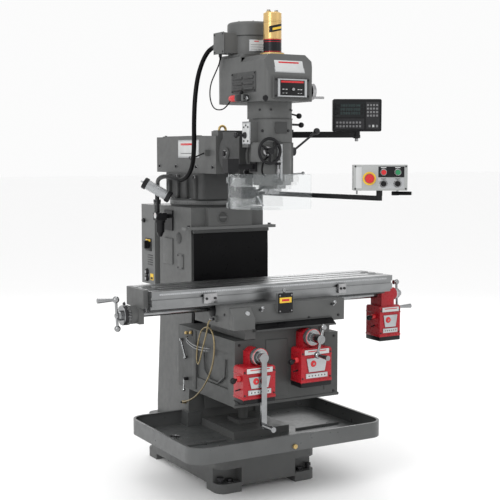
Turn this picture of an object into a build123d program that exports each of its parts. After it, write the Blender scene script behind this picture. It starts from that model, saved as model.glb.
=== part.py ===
from build123d import *
import math
import os

# Vertical knee mill with a sliding ram, a tilting head and three power feeds.
# Millimetres. +X is the operator's right, -Y faces the operator, +Z is up.
# The origin is on the floor, at the centre of the base's anchor holes.

# Clearances
running_gap = 0.05
slide_gap = 0.1
body_gap = 0.4
free_gap = 1.0

# Base and chip pan
base_length = 786.0
base_width = 530.0
base_height = 225.0
base_wall = 30.0
base_corner = 45.0
foot_arch = 30.0
foot_length = 120.0
pocket_height = 68.0
plinth_width = 300.0
plinth_length = 330.0
plinth_height = 37.0
anchor_radius = 11.0
anchor_half_x = 190.0
anchor_half_y = 358.0
levelling_radius = 10.0
levelling_half_x = 238.0
pan_length = 1016.0
pan_front = -616.0
pan_rear = 70.0
pan_height = 73.0
pan_sheet = 3.0
pan_corner = 80.0
pan_lip = 12.0

# Column
column_depth = 390.0
column_half_foot = 220.0
column_half_top = 200.0
column_top = 1290.0
column_shoulder = 760.0
column_wall = 28.0
way_half = 130.0
way_undercut = 14.0
way_depth = 22.0
way_bottom = 310.0
way_top = 1186.0
boss_half = 120.0
boss_depth = 30.0
bar_half = 250.0
bar_height = 14.0
cover_half = 208.0
cover_gap = 4.0
cover_sheet = 14.0

# Knee, its screw and its feed
screw_y = -150.0
screw_radius = 19.0
pedestal_radius = 24.0
pedestal_top = 520.0
pedestal_foot = 110.0
knee_half = 272.0
knee_front = -555.0
knee_bottom = 440.0
knee_shelf = 735.0
knee_way_half = 170.0
knee_way_hook = 16.0
knee_way_hook_height = 20.0
knee_way_top = 790.0
knee_way_rear = -60.0
knee_hollow_half = 100.0
knee_hollow_depth = 190.0
knee_hollow_roof = 690.0
knee_lock_y = -48.0
knee_lock_z = 668.0
feed_shaft_radius = 12.0
z_shaft_x = -194.0
z_shaft_height = 673.0
y_shaft_x = 80.0
y_shaft_height = 735.0
z_crank_length = 296.0

# Saddle
saddle_half = 303.0
saddle_front = -560.0
saddle_rear = -237.0
saddle_top = 888.0
saddle_lip = 36.0
table_lock_places = (-148.0, 232.0)
table_lock_z = 866.0

# Table
table_length = 1270.0
table_width = 254.0
table_y = -360.0
table_top = 968.0
slot_pitch = 63.5
slot_width = 16.3
slot_neck = 16.0
slot_foot = 28.0
slot_foot_height = 12.0
table_way_half = 62.0
table_way_depth = 14.0
table_way_flare = 8.0
table_screw_z = 858.0
table_screw_radius = 14.0
dial_radius = 42.0
crank_radius = 70.0

# Turret and ram
swivel_y = 195.0
turret_radius = 190.0
turret_flange = 40.0
turret_top = 1455.0
turret_half = 152.0
turret_front = -5.0
turret_rear = 395.0
ram_half = 140.0
ram_front = -140.0
ram_rear = 530.0
ram_top = 1633.0
ram_rail_half = 90.0
ram_rail_height = 24.0
ram_rail_flare = 12.0
ram_block_height = 23.0
ram_block_length = 65.0
eye_y = 52.0
nod_y = -228.0
nod_z = 1550.0
tongue_half = 60.0
tongue_radius = 78.0
cheek_half = 130.0
cheek_height = 100.0
cheek_rear = -190.0
knuckle_front = -345.0
knuckle_thickness = 30.0
tilt_z = 1540.0

# Head
spindle_y = -418.0
nose_z = 1380.0
quill_radius = 43.0
quill_top = 1582.0
spindle_radius = 20.0
spindle_top = 1970.0
taper_radius = 12.05
taper_depth = 70.0
housing_radius = 87.0
housing_bottom = 1412.0
housing_top = 1600.0
flange_radius = 98.0
boss_face = 90.0
apron_reach = 82.0
feed_wheel_x = -80.0
feed_wheel_z = 1562.0
quill_lever_z = 1560.0
quill_lock_z = 1457.0
range_lever_z = 1732.0
brake_lever_z = 1683.0
selector_z = 1632.0
selector_y = -395.0
selector_box = 34.0
wheel_y = -530.0
wheel_z = 1826.0
gear_top = 1705.0
gear_half = 90.0
neck_top = 1780.0
neck_half = 88.0
belt_half = 122.0
belt_front = -572.0
belt_rear = -70.0
belt_top = 1985.0
belt_wall = 5.0
belt_round = 95.0
belt_corner = 22.0
lid_height = 92.0
lid_lean = 30.0
lid_bevel = 28.0
lid_rear = -345.0
panel_half = 92.0
panel_bottom = 1791.0
panel_height = 90.0
valve_x = belt_half + 18.0
valve_reach = valve_x + 14.0
valve_axis = 1798.0
valve_back = -345.0
valve_radius = 13.0
motor_y = -225.0
motor_radius = 105.0
motor_top = 2150.0
motor_cowl = 62.0
pulley_radius = 45.0
pulley_bottom = 1800.0
pulley_height = 40.0
drawbar_radius = 41.0
drawbar_top = 2190.0

# Cabinet, lamp and air service
cabinet_half = 200.0
cabinet_front = 413.0
cabinet_rear = 560.0
cabinet_bottom = 874.0
cabinet_top = 1287.0
cabinet_sheet = 2.0
door_depth = 14.0
disconnect_y = 490.0
disconnect_z = 1079.0
lamp_centre = (-turret_radius - 98.0, 195.0, 1372.0)
lamp_length = 150.0
lamp_radius = 24.0

# Swinging arms
dro_pivot = (185.0, 114.0)
dro_end = (600.0, -232.0)
dro_arm_z = 1643.0
dro_width = 240.0
dro_height = 158.0
pendant_pivot = (262.0, 150.0)
pendant_end = (400.0, -690.0)
pendant_arm_z = 1350.0
pendant_width = 240.0
pendant_height = 114.0
pendant_depth = 78.0
pendant_riser = 25.0
view_turn = -30.0
stop_place = (-50.0, -4.0)
red_place = (13.0, 24.0)
green_place = (76.0, 24.0)
left_selector_place = (13.0, -27.0)
right_selector_place = (76.0, -27.0)
dro_bar = 30.0
pendant_bar = 22.0

# Flexible lines, point by point
conduit_diameter = 22.0
cable_diameter = 7.0
valve_line_diameter = 6.0
conduit_route = [(-150, -170, 2040), (-150, -120, 2042), (-175, -95, 2000), (-215, -110, 1920),
                 (-240, -125, 1820), (-250, -132, 1700), (-238, -110, 1580), (-222, -60, 1480),
                 (-222, 30, 1420), (-226, 130, 1430), (-222, 250, 1440), (-205, 360, 1420),
                 (-162, 455, 1386), (-150, 487, 1340), (-150, 487, 1300)]
cable_route = [(-316.2, -445, 823), (-343, -445, 823), (-348, -440, 770), (-346, -395, 690),
               (-340, -343, 596), (-334, -308, 618), (-330, -316, 700), (-328, -352, 772),
               (-328, -440, 788), (-328, -478, 720), (-328, -452, 600), (-324, -350, 490),
               (-300, -190, 404), (-262, 10, 350), (-220, 33, 342)]
valve_route = [(-150, -205, 2004.5), (-150, -205, 1972), (-150, -160, 1925), (-150, -108, 1875),
               (-valve_x - 10, -98, 1812), (-valve_x - 10, -135, 1758),
               (-valve_x - 10, -215, 1748), (-valve_x - 4, -262, 1768), (-valve_x, -287, 1794)]

# Guard
guard_post = (-218.0, -421.0)
guard_bottom = 1309.0
guard_top = 1462.0
guard_sheet = 4.0


def block(x, y, z):
    """A box between low and high corners."""
    place = Pos((x[0] + x[1]) / 2, (y[0] + y[1]) / 2, (z[0] + z[1]) / 2)
    return place * Box(x[1] - x[0], y[1] - y[0], z[1] - z[0])


def rod(start, end, radius):
    """A round bar from one point to another."""
    path = Vector(*end) - Vector(*start)
    place = Plane(origin=start, z_dir=path).location
    return place * Pos(0, 0, path.length / 2) * Cylinder(radius, path.length)


def cone(start, end, low_radius, high_radius):
    """A tapered round bar from one point to another."""
    path = Vector(*end) - Vector(*start)
    place = Plane(origin=start, z_dir=path).location
    return place * Pos(0, 0, path.length / 2) * Cone(low_radius, high_radius, path.length)


def ball(centre, radius):
    """A ball whose seam is turned away from the levers that enter it."""
    return Pos(*centre) * Rot(0, 0, -45) * Sphere(radius)


def soften(solid, axis, radius):
    """Round the edges that run along one axis."""
    return fillet(solid.edges().filter_by(axis), radius)


def profile_x(points, x):
    """A bar along X with an outline given as (y, z) points."""
    outline = make_face(Polyline([(0, y, z) for y, z in points], close=True))
    return Pos(x[0], 0, 0) * extrude(outline, x[1] - x[0], dir=(1, 0, 0))


def profile_y(points, y):
    """A bar along Y with an outline given as (x, z) points."""
    outline = make_face(Polyline([(x, 0, z) for x, z in points], close=True))
    return Pos(0, y[0], 0) * extrude(outline, y[1] - y[0], dir=(0, 1, 0))


def profile_z(points, z):
    """A bar along Z with an outline given as (x, y) points."""
    outline = make_face(Polyline([(x, y, 0) for x, y in points], close=True))
    return Pos(0, 0, z[0]) * extrude(outline, z[1] - z[0], dir=(0, 0, 1))


def corners(half_x, half_y):
    return [(x, y) for x in (-half_x, half_x) for y in (-half_y, half_y)]


# Column, pan and base

def make_base():
    half_x = base_width / 2
    half_y = base_length / 2
    body = soften(block((-half_x, half_x), (-half_y, half_y), (0, base_height)), Axis.Z, base_corner)
    body += block((-plinth_width / 2, plinth_width / 2), (-plinth_length, 0),
                  (base_height, base_height + plinth_height))
    body -= block((-half_x, half_x), (-half_y + foot_length, half_y - foot_length), (0, foot_arch))
    body -= block((-half_x + foot_length, half_x - foot_length), (-half_y, half_y), (0, foot_arch))
    body -= block((-half_x + base_wall, half_x - base_wall),
                  (-half_y + foot_length, half_y - foot_length),
                  (foot_arch + base_wall, base_height - base_wall))
    for x, y in corners(half_x, half_y):
        inner_x = x - math.copysign(foot_length, x)
        inner_y = y - math.copysign(base_wall * 2, y)
        body -= block((min(x, inner_x), max(x, inner_x)), (min(y, inner_y), max(y, inner_y)),
                      (foot_arch + 15, foot_arch + 15 + pocket_height))
    for x, y in corners(anchor_half_x, anchor_half_y):
        body -= rod((x, y, 0), (x, y, foot_arch + 15), anchor_radius)
    for x, y in corners(levelling_half_x, anchor_half_y):
        body -= rod((x, y, 0), (x, y, foot_arch + 15), levelling_radius + running_gap)
    body -= rod((0, screw_y, foot_arch + base_wall), (0, screw_y, base_height + plinth_height),
                screw_radius + free_gap)
    return body + make_pedestal()


def make_levelling_screws():
    seat = foot_arch + 15
    screws = []
    for x, y in corners(levelling_half_x, anchor_half_y):
        stem = rod((x, y, 0), (x, y, seat + 14), levelling_radius)
        head = Pos(x, y, seat + 14) * extrude(RegularPolygon(levelling_radius * 1.7, 6), 12)
        screws.append(stem + head)
    return Compound(screws)


def make_chip_pan():
    width = pan_rear - pan_front
    middle = (pan_rear + pan_front) / 2
    tray = extrude(RectangleRounded(pan_length, width, pan_corner), pan_height)
    hollow = extrude(RectangleRounded(pan_length - 2 * pan_sheet, width - 2 * pan_sheet,
                                      pan_corner - pan_sheet), pan_height)
    mouth = extrude(RectangleRounded(pan_length - 2 * pan_lip, width - 2 * pan_lip,
                                     pan_corner - pan_lip), pan_height)
    tray -= Pos(0, 0, pan_sheet) * (hollow - Pos(0, 0, pan_height - 2 * pan_sheet) * (hollow - mouth))
    tray = Pos(0, middle, base_height) * tray
    side = column_half_foot + free_gap
    skirt = pan_sheet * 2
    tray += block((-side - skirt, side + skirt), (-free_gap - skirt, pan_rear),
                  (base_height, base_height + pan_height))
    tray -= block((-side, side), (-free_gap, pan_rear + skirt),
                  (base_height, base_height + pan_height))
    plinth_side = plinth_width / 2 + free_gap
    tray -= block((-plinth_side, plinth_side), (-plinth_length - free_gap, 0),
                  (base_height, base_height + pan_height))
    return tray


def make_column():
    body = profile_y([(-column_half_foot, base_height), (column_half_foot, base_height),
                      (column_half_foot, base_height + 60), (column_half_top, column_shoulder),
                      (column_half_top, column_top), (-column_half_top, column_top),
                      (-column_half_top, column_shoulder), (-column_half_foot, base_height + 60)],
                     (0, column_depth))
    rear = body.edges().filter_by(lambda e: e.center().Y > column_depth - 1 and e.length > 200
                                  and abs(e.center().X) > column_half_top - 1)
    body = fillet(rear, 50)
    half = way_half + way_undercut
    body += profile_z([(-way_half, 0), (-half, -way_depth), (half, -way_depth), (way_half, 0)],
                      (way_bottom, way_top))
    body += block((-boss_half, boss_half), (-boss_depth, 0), (way_top + bar_height, column_top))
    body -= block((-column_half_top + column_wall, column_half_top - column_wall),
                  (column_wall, column_depth - column_wall),
                  (base_height + column_wall, column_top - column_wall))
    return body


def make_way_cover_bar():
    front = -way_depth - cover_gap - cover_sheet
    bar = block((-bar_half, bar_half), (front, 0), (way_top, way_top + bar_height))
    for side in (-1, 1):
        bar -= rod((side * (bar_half - 14), front / 2, way_top),
                   (side * (bar_half - 14), front / 2, way_top + bar_height), 5)
    return bar


def make_rear_way_cover():
    front = -way_depth - cover_gap - cover_sheet
    return block((-cover_half, cover_half), (front, -way_depth - cover_gap), (knee_shelf, way_top))


def make_pedestal():
    floor = base_height + plinth_height
    foot = block((-pedestal_foot / 2, pedestal_foot / 2),
                 (screw_y - pedestal_foot / 2, screw_y + pedestal_foot / 2), (floor, floor + 18))
    post = foot + rod((0, screw_y, floor), (0, screw_y, pedestal_top), pedestal_radius)
    post -= rod((0, screw_y, floor), (0, screw_y, pedestal_top), screw_radius + body_gap)
    return post


def make_cabinet():
    shell = block((-cabinet_half, cabinet_half), (cabinet_front, cabinet_rear),
                  (cabinet_bottom, cabinet_top))
    shell -= block((-cabinet_half + cabinet_sheet, cabinet_half - cabinet_sheet),
                   (cabinet_front + cabinet_sheet, cabinet_rear),
                   (cabinet_bottom + cabinet_sheet, cabinet_top - cabinet_sheet))
    for x in (-120, 120):
        for z in (cabinet_bottom + 60, cabinet_top - 60):
            shell += rod((x, column_depth, z), (x, cabinet_front, z), 12)
    for z in (cabinet_bottom + 56, cabinet_top - 76):
        shell += hinge_knuckle(z, cabinet_rear - 12, cabinet_rear + door_depth / 2)
    x, y, z = conduit_route[-1]
    shell += rod((x, y, cabinet_top), (x, y, z), 18)
    shell -= rod((x, y, cabinet_top - cabinet_sheet), (x, y, z), conduit_diameter / 2 - 3)
    shell -= rod((-cabinet_half - 1, disconnect_y, disconnect_z),
                 (-cabinet_half + 5, disconnect_y, disconnect_z), 5 + running_gap)
    return shell


def hinge_knuckle(z, low_y, high_y):
    """A hinge barrel on the cabinet's right rear corner, with its leaf."""
    axis_y = cabinet_rear + door_depth / 2
    barrel = rod((cabinet_half + 9, axis_y, z), (cabinet_half + 9, axis_y, z + 20), 7)
    return barrel + block((cabinet_half, cabinet_half + 9), (low_y, high_y), (z, z + 20))


def make_cabinet_door():
    low_y = cabinet_rear + body_gap
    door = block((-cabinet_half, cabinet_half), (low_y, cabinet_rear + door_depth),
                 (cabinet_bottom, cabinet_top))
    for z in (cabinet_bottom + 76 + body_gap, cabinet_top - 56 + body_gap):
        door += hinge_knuckle(z, low_y, cabinet_rear + door_depth / 2 + 5)
    return door


def make_disconnect_knob():
    x = -cabinet_half - body_gap
    knob = rod((x, disconnect_y, disconnect_z), (x - 12, disconnect_y, disconnect_z), 22)
    knob += block((x - 24, x - 12), (disconnect_y - 6, disconnect_y + 6),
                  (disconnect_z - 20, disconnect_z + 20))
    return knob + rod((x, disconnect_y, disconnect_z), (x + 5, disconnect_y, disconnect_z), 5)


def lamp_frame():
    """The lamp's own axes: x along its barrel, z away from the operator."""
    along = Vector(0.75, -0.43, -0.5)
    back = Vector(0.5, 0.866, 0)
    return Plane(origin=lamp_centre, x_dir=along, z_dir=back - along * (back.dot(along)))


def make_lamp():
    half = lamp_length / 2
    place = lamp_frame().location
    barrel = Rot(0, 90, 0) * Cylinder(lamp_radius, lamp_length - 40)
    for side in (-1, 1):
        cap = Pos(side * (half - 10), 0, 0) * Rot(0, 90, 0) * Cylinder(lamp_radius + 5, 20)
        barrel += cap
    barrel += Pos(-half - 8, 0, 0) * Rot(0, 90, 0) * Cylinder(5, 16)
    barrel += Pos(0, 0, lamp_radius + 5) * Cylinder(11, 18)
    return place * barrel


def make_air_unit():
    place = lamp_frame().location
    reach = lamp_radius + 14 + 2 * body_gap
    knuckle = place * Pos(0, 0, reach + 10) * Cylinder(13, 20)
    centre = knuckle.center()
    post = rod((centre.X, centre.Y, column_top - 60), tuple(centre), 8)
    arm = block((centre.X - 9, -column_half_top), (centre.Y - 9, centre.Y + 9),
                (column_top - 60, column_top - 40))
    plate = block((-column_half_top - 8, -column_half_top), (centre.Y - 45, centre.Y + 45),
                  (column_top - 120, column_top - 20))
    head = block((centre.X - 30, centre.X + 24), (centre.Y - 52, centre.Y - 9),
                 (column_top - 66, column_top - 30))
    unit = knuckle + post + arm + plate + head
    bowl_x = centre.X - 3
    bowl_y = centre.Y - 32
    top = column_top - 66
    unit += rod((bowl_x, bowl_y, top - 12), (bowl_x, bowl_y, top), 26)
    unit += rod((bowl_x, bowl_y, top - 60), (bowl_x, bowl_y, top - 12), 21)
    return unit + cone((bowl_x, bowl_y, top - 82), (bowl_x, bowl_y, top - 60), 9, 18)


# Turret, arms and ram

def make_turret():
    low = column_top
    disc = rod((0, swivel_y, low), (0, swivel_y, low + turret_flange), turret_radius)
    body = block((-turret_half, turret_half), (turret_front, turret_rear),
                 (low + turret_flange, turret_top))
    body = soften(body, Axis.Z, 30)
    half = ram_rail_half
    rail = profile_y([(-half, turret_top), (half, turret_top),
                      (half + ram_rail_flare, turret_top + ram_rail_height),
                      (-half - ram_rail_flare, turret_top + ram_rail_height)],
                     (turret_front, turret_rear))
    x, y = pendant_pivot
    bracket = block((turret_radius - 40, x), (y - 24, y + 24), (low, pendant_arm_z - pendant_bar / 2))
    bracket += rod((x, y, low), (x, y, pendant_arm_z - pendant_bar / 2), 24)
    pin = rod((x, y, low), (x, y, pendant_arm_z + pendant_bar / 2 + 8), 10)
    return disc + body + rail + bracket + pin


def arm_bar(pivot, end, z, size, bore):
    """A square bar between two vertical pivots, ringed at the first."""
    run = Vector(end[0] - pivot[0], end[1] - pivot[1], 0)
    turn = math.degrees(math.atan2(run.Y, run.X))
    middle = ((pivot[0] + end[0]) / 2, (pivot[1] + end[1]) / 2, z)
    bar = Pos(*middle) * Rot(0, 0, turn) * Box(run.length, size, size)
    low = z - size / 2
    high = z + size / 2
    bar += rod((*pivot, low), (*pivot, high), 22)
    bar += rod((*end, low), (*end, high), size / 2 + 2)
    return bar - rod((*pivot, low), (*pivot, high), bore)


def make_pendant_arm():
    arm = arm_bar(pendant_pivot, pendant_end, pendant_arm_z, pendant_bar, 10 + running_gap)
    base = pendant_arm_z + pendant_bar / 2
    top = base + pendant_riser
    return arm + rod((*pendant_end, base), (*pendant_end, top), 14) + rod((*pendant_end, top),
                                                                       (*pendant_end, top + 20), 9)


def pendant_place():
    low = pendant_arm_z + pendant_bar / 2 + pendant_riser + body_gap
    return Location((*pendant_end, low + pendant_height / 2), (0, 0, view_turn))


def pendant_control(column, row):
    """The place of a control on the pendant's face, z pointing out."""
    face = Pos(column, -pendant_depth / 2, row) * Rot(90, 0, 0)
    return pendant_place() * face


def make_pendant_box():
    box = soften(Box(pendant_width, pendant_depth, pendant_height), Axis.Z, 6)
    box = pendant_place() * box
    peg = pendant_arm_z + pendant_bar / 2 + pendant_riser
    box -= rod((*pendant_end, peg), (*pendant_end, peg + 20.5), 9 + running_gap)
    for column, row in (stop_place, red_place, green_place):
        box -= pendant_control(column, row) * Cylinder(5 + body_gap, 56)
    for column, row in (left_selector_place, right_selector_place):
        box -= pendant_control(column, row) * Cylinder(4 + running_gap, 24)
    grip = pendant_place()
    low = -pendant_height / 2
    side = pendant_width / 2
    handle = Pos(side - 20, -10, low - 14) * Rot(0, 90, 0) * Cylinder(8, 90)
    handle += Pos(side - 40, -10, low - 7) * Cylinder(5, 15)
    return box + grip * handle


def push_button(column, row, radius, travel):
    cap = Pos(0, 0, travel + 5 + 2) * Cylinder(radius, 10)
    stem = Pos(0, 0, (travel - 10) / 2) * Cylinder(5, travel + 18)
    return pendant_control(column, row) * (cap + stem)


def selector(column, row):
    knob = Pos(0, 0, 7 + body_gap) * Cylinder(12, 14)
    knob += Pos(0, 0, 16 + body_gap) * Box(6, 24, 8)
    return pendant_control(column, row) * (knob + Pos(0, 0, -3) * Cylinder(4, 12))


def make_ram():
    body = block((-ram_half, ram_half), (ram_front, ram_rear), (turret_top, ram_top))
    body = fillet(body.edges().filter_by(Axis.Z).group_by(Axis.Y)[-1], 30)
    body += block((-ram_half + 12, ram_half - 12), (ram_front, ram_front + ram_block_length),
                  (ram_top, ram_top + ram_block_height))
    body += block((-tongue_half, tongue_half), (nod_y, ram_front),
                  (nod_z - tongue_radius + 8, nod_z + tongue_radius - 8))
    body += rod((-tongue_half, nod_y, nod_z), (tongue_half, nod_y, nod_z), tongue_radius)
    half = ram_rail_half + slide_gap
    flare = ram_rail_flare
    body -= profile_y([(-half, turret_top), (half, turret_top),
                       (half + flare, turret_top + ram_rail_height + slide_gap),
                       (-half - flare, turret_top + ram_rail_height + slide_gap)],
                      (ram_front, ram_rear))
    body -= block((-ram_half + 30, ram_half - 30), (ram_front + 40, ram_rear - 40),
                  (turret_top + ram_rail_height + 25, ram_top - 25))
    x, y = dro_pivot
    low = dro_arm_z - dro_bar / 2
    body += block((ram_half, x), (y - 20, y + 20), (low - 34, low))
    body += rod((x, y, low - 34), (x, y, low), 20)
    body += rod((x, y, low), (x, y, low + dro_bar + 8), 9)
    body += block((-ram_half - 24, -ram_half), (-78, -50), (1540, 1568))
    return body


def make_eye_bolt():
    ring = Pos(0, eye_y, ram_top + 33) * Rot(90, 0, 0) * Torus(18, 6)
    foot = rod((0, eye_y, ram_top), (0, eye_y, ram_top + 8), 17)
    neck = rod((0, eye_y, ram_top), (0, eye_y, ram_top + 13), 8)
    return ring + foot + neck


def make_dro_arm():
    arm = arm_bar(dro_pivot, dro_end, dro_arm_z, dro_bar, 9 + running_gap)
    base = dro_arm_z + dro_bar / 2
    return arm + rod((*dro_end, base), (*dro_end, base + 20), 9)


def make_dro_display():
    low = dro_arm_z + dro_bar / 2 + body_gap
    place = Location((*dro_end, low + dro_height / 2), (0, 0, view_turn))
    case = place * soften(Box(dro_width, 46, dro_height), Axis.Y, 8)
    return case - rod((*dro_end, low - 1), (*dro_end, low + 20.5), 9 + running_gap)


def make_ram_adapter():
    inner = tongue_half + body_gap
    low = tilt_z - 100
    high = tilt_z + 98
    body = block((-cheek_half, cheek_half), (knuckle_front, knuckle_front + knuckle_thickness),
                 (low, high))
    body = soften(body, Axis.Y, 24)
    for side in (-1, 1):
        x = (min(side * inner, side * cheek_half), max(side * inner, side * cheek_half))
        body += block(x, (knuckle_front + knuckle_thickness, cheek_rear),
                      (nod_z - tongue_radius, nod_z + cheek_height))
        body += rod((x[0], nod_y, nod_z), (x[1], nod_y, nod_z), tongue_radius)
    return body


# Head

def make_quill_housing():
    low = housing_bottom
    back = knuckle_front - 16
    apron_front = spindle_y - apron_reach
    body = rod((0, spindle_y, low), (0, spindle_y, housing_top), housing_radius)
    body += block((-housing_radius, housing_radius), (spindle_y, back), (low + 50, housing_top))
    body -= block((-housing_radius, housing_radius), (back, spindle_y + housing_radius),
                  (low, housing_top))
    body += rod((0, back, tilt_z), (0, knuckle_front, tilt_z), flange_radius)
    body += rod((0, spindle_y, low - 18), (0, spindle_y, low), 62)
    apron = block((feed_wheel_x - 38, feed_wheel_x + 46), (apron_front, spindle_y),
                  (1514, housing_top))
    body += soften(apron, Axis.Z, 14)
    body += block((44, boss_face), (spindle_y - 36, spindle_y + 28), (low + 10, housing_top))
    body -= rod((0, spindle_y, low - 18), (0, spindle_y, housing_top), quill_radius + running_gap)
    body -= rod((feed_wheel_x, apron_front, feed_wheel_z),
                (feed_wheel_x, apron_front + 30, feed_wheel_z), 8 + running_gap)
    body -= rod((boss_face - 26, spindle_y - 14, quill_lever_z),
                (boss_face, spindle_y - 14, quill_lever_z), 9 + running_gap)
    body -= rod((boss_face - 26, spindle_y - 22, quill_lock_z),
                (boss_face, spindle_y - 22, quill_lock_z), 6 + running_gap)
    return body


def make_gear_housing():
    rear = knuckle_front - 18
    body = rod((0, spindle_y, housing_top), (0, spindle_y, gear_top), gear_half)
    body += block((-gear_half, gear_half), (spindle_y, rear), (housing_top, gear_top))
    body -= block((-gear_half, gear_half), (rear, spindle_y + gear_half), (housing_top, gear_top))
    side = -gear_half - selector_box
    body += block((side, -gear_half + 10), (selector_y - 45, rear), (housing_top, gear_top - 12))
    body += block((side, -housing_radius - 2), (spindle_y + 2, rear), (housing_top - 22, housing_top))
    upper = rod((0, spindle_y, gear_top), (0, spindle_y, neck_top), neck_half)
    upper += block((-neck_half, neck_half), (spindle_y, knuckle_front), (gear_top, neck_top))
    upper -= block((-neck_half, neck_half), (knuckle_front, spindle_y + neck_half),
                   (gear_top, neck_top))
    body += upper
    body -= rod((0, spindle_y, housing_top), (0, spindle_y, neck_top), spindle_radius + free_gap)
    for z in (range_lever_z, brake_lever_z):
        body -= rod((neck_half - 30, spindle_y + 14, z), (gear_half, spindle_y + 14, z),
                    6 + running_gap)
    body -= rod((side, selector_y, selector_z), (side + 26, selector_y, selector_z),
                6 + running_gap)
    return body


def belt_form(inset):
    """The belt housing's outside, drawn in by one distance: a round rear and a lid that leans back."""
    half = belt_half - inset
    front = belt_front + inset
    top = belt_top - inset
    form = block((-half, half), (front, belt_rear - inset), (neck_top + inset, top))
    form = fillet(form.edges().filter_by(Axis.Z).group_by(Axis.Y)[-1], belt_round - inset)
    form = fillet(form.edges().filter_by(Axis.Z).group_by(Axis.Y)[0], belt_corner - inset)
    form -= profile_x([(front, top - lid_height), (front, top), (front + lid_lean, top)], (-half, half))
    for side in (-1, 1):
        form -= profile_y([(side * half, top - lid_bevel), (side * half, top),
                           (side * (half - lid_bevel), top)], (front, lid_rear))
    return form


def make_belt_housing():
    shell = belt_form(0) - belt_form(belt_wall)
    shell += block((-panel_half, panel_half), (belt_front - 10, belt_front),
                   (panel_bottom, panel_bottom + panel_height))
    # the air valve's body and the round barrel behind it, on the left wall
    shell += block((-valve_reach, -belt_half + belt_wall), (valve_back - 75, valve_back),
                   (valve_axis - 14, valve_axis + 14))
    shell += rod((-valve_x, valve_back, valve_axis),
                 (-valve_x, valve_back + 55, valve_axis), valve_radius)
    shell -= rod((0, spindle_y, neck_top), (0, spindle_y, neck_top + belt_wall),
                 spindle_radius + free_gap)
    shell -= rod((0, motor_y, belt_top - belt_wall), (0, motor_y, belt_top), 12)
    shell -= rod((belt_half - belt_wall, wheel_y, wheel_z), (belt_half, wheel_y, wheel_z),
                 7 + running_gap)
    return shell


def make_motor():
    body = rod((0, motor_y, belt_top), (0, motor_y, motor_top - motor_cowl), motor_radius)
    body += rod((0, motor_y, motor_top - motor_cowl), (0, motor_y, motor_top), motor_radius + 4)
    body = fillet(body.edges().group_by(Axis.Z)[-1], 14)
    foot = block((-belt_half + 10, belt_half - 10), (motor_y - 112, motor_y + 112),
                 (belt_top, belt_top + 14))
    body += soften(foot, Axis.Z, 20)
    body += block((-motor_radius - 62, -motor_radius + 24), (motor_y - 45, motor_y + 45),
                  (belt_top + 20, belt_top + 112))
    body -= rod((0, motor_y, belt_top), (0, motor_y, belt_top + 60), 12)
    return body


def make_drawbar_unit():
    unit = rod((0, spindle_y, belt_top), (0, spindle_y, belt_top + 14), drawbar_radius + 12)
    unit += rod((0, spindle_y, belt_top + 14), (0, spindle_y, drawbar_top - 16), drawbar_radius)
    for side in (-1, 1):
        unit += rod((side * 20, spindle_y, drawbar_top - 16), (side * 20, spindle_y, drawbar_top), 8)
    return unit


def make_motor_pulley():
    high = pulley_bottom + pulley_height
    pulley = rod((0, motor_y, pulley_bottom), (0, motor_y, high), pulley_radius)
    return pulley + rod((0, motor_y, high), (0, motor_y, belt_top + 58), 11.95)


def make_spindle_pulley():
    high = pulley_bottom + pulley_height
    pulley = rod((0, spindle_y, pulley_bottom), (0, spindle_y, high), pulley_radius * 1.4)
    return pulley - rod((0, spindle_y, pulley_bottom), (0, spindle_y, high),
                        spindle_radius + running_gap)


def make_quill():
    body = rod((0, spindle_y, nose_z), (0, spindle_y, quill_top), quill_radius)
    return body - rod((0, spindle_y, nose_z), (0, spindle_y, quill_top),
                      spindle_radius + running_gap)


def make_spindle():
    body = rod((0, spindle_y, nose_z - 12), (0, spindle_y, nose_z - body_gap), 32)
    body += rod((0, spindle_y, nose_z - body_gap), (0, spindle_y, spindle_top), spindle_radius)
    return body - rod((0, spindle_y, nose_z - 12), (0, spindle_y, nose_z - 12 + taper_depth),
                      taper_radius)


def make_quill_lever():
    y = spindle_y - 14
    z = quill_lever_z
    shaft = rod((boss_face - 24, y, z), (boss_face + 12, y, z), 9)
    hub = rod((boss_face + body_gap, y, z), (boss_face + 18, y, z), 20)
    tip = (boss_face + 112, y - 44, z + 92)
    return shaft + hub + rod((boss_face + 10, y, z), tip, 5) + ball(tip, 15)


def make_feed_handwheel():
    front = spindle_y - apron_reach
    x = feed_wheel_x
    z = feed_wheel_z
    middle = (x, front - 30, z)
    wheel = Pos(*middle) * Rot(90, 0, 0) * Torus(54, 7)
    wheel += rod((x, front - 46, z), (x, front - 4, z), 14)
    wheel += rod((x, front - 6, z), (x, front + 26, z), 8)
    for turn in (90, 210, 330):
        spoke = Vector(54, 0, 0).rotate(Axis.Y, turn) + Vector(*middle)
        wheel += rod(middle, tuple(spoke), 6)
    return wheel


def make_feed_selector():
    x = -gear_half - selector_box
    stem = rod((x + 20, selector_y, selector_z), (x - 12, selector_y, selector_z), 6)
    collar = rod((x - 8, selector_y, selector_z), (x - 18, selector_y, selector_z), 8)
    tip = (x - 52, selector_y, selector_z)
    return stem + collar + rod((x - 16, selector_y, selector_z), tip, 4) + ball(tip, 12)


def side_lever(z, reach, drop, radius):
    """A ball lever on the gear housing's right side."""
    y = spindle_y + 14
    stem = rod((neck_half - 24, y, z), (gear_half + 14, y, z), 6)
    tip = (gear_half + reach, y, z + drop)
    return stem + rod((gear_half + 8, y, z), tip, radius) + ball(tip, 13)


def make_quill_lock():
    y = spindle_y - 22
    stem = rod((boss_face - 24, y, quill_lock_z), (boss_face + 14, y, quill_lock_z), 6)
    tip = (boss_face + 62, y, quill_lock_z + 4)
    return stem + cone((boss_face + 8, y, quill_lock_z), tip, 5, 3.5) + ball(tip, 8)


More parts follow.
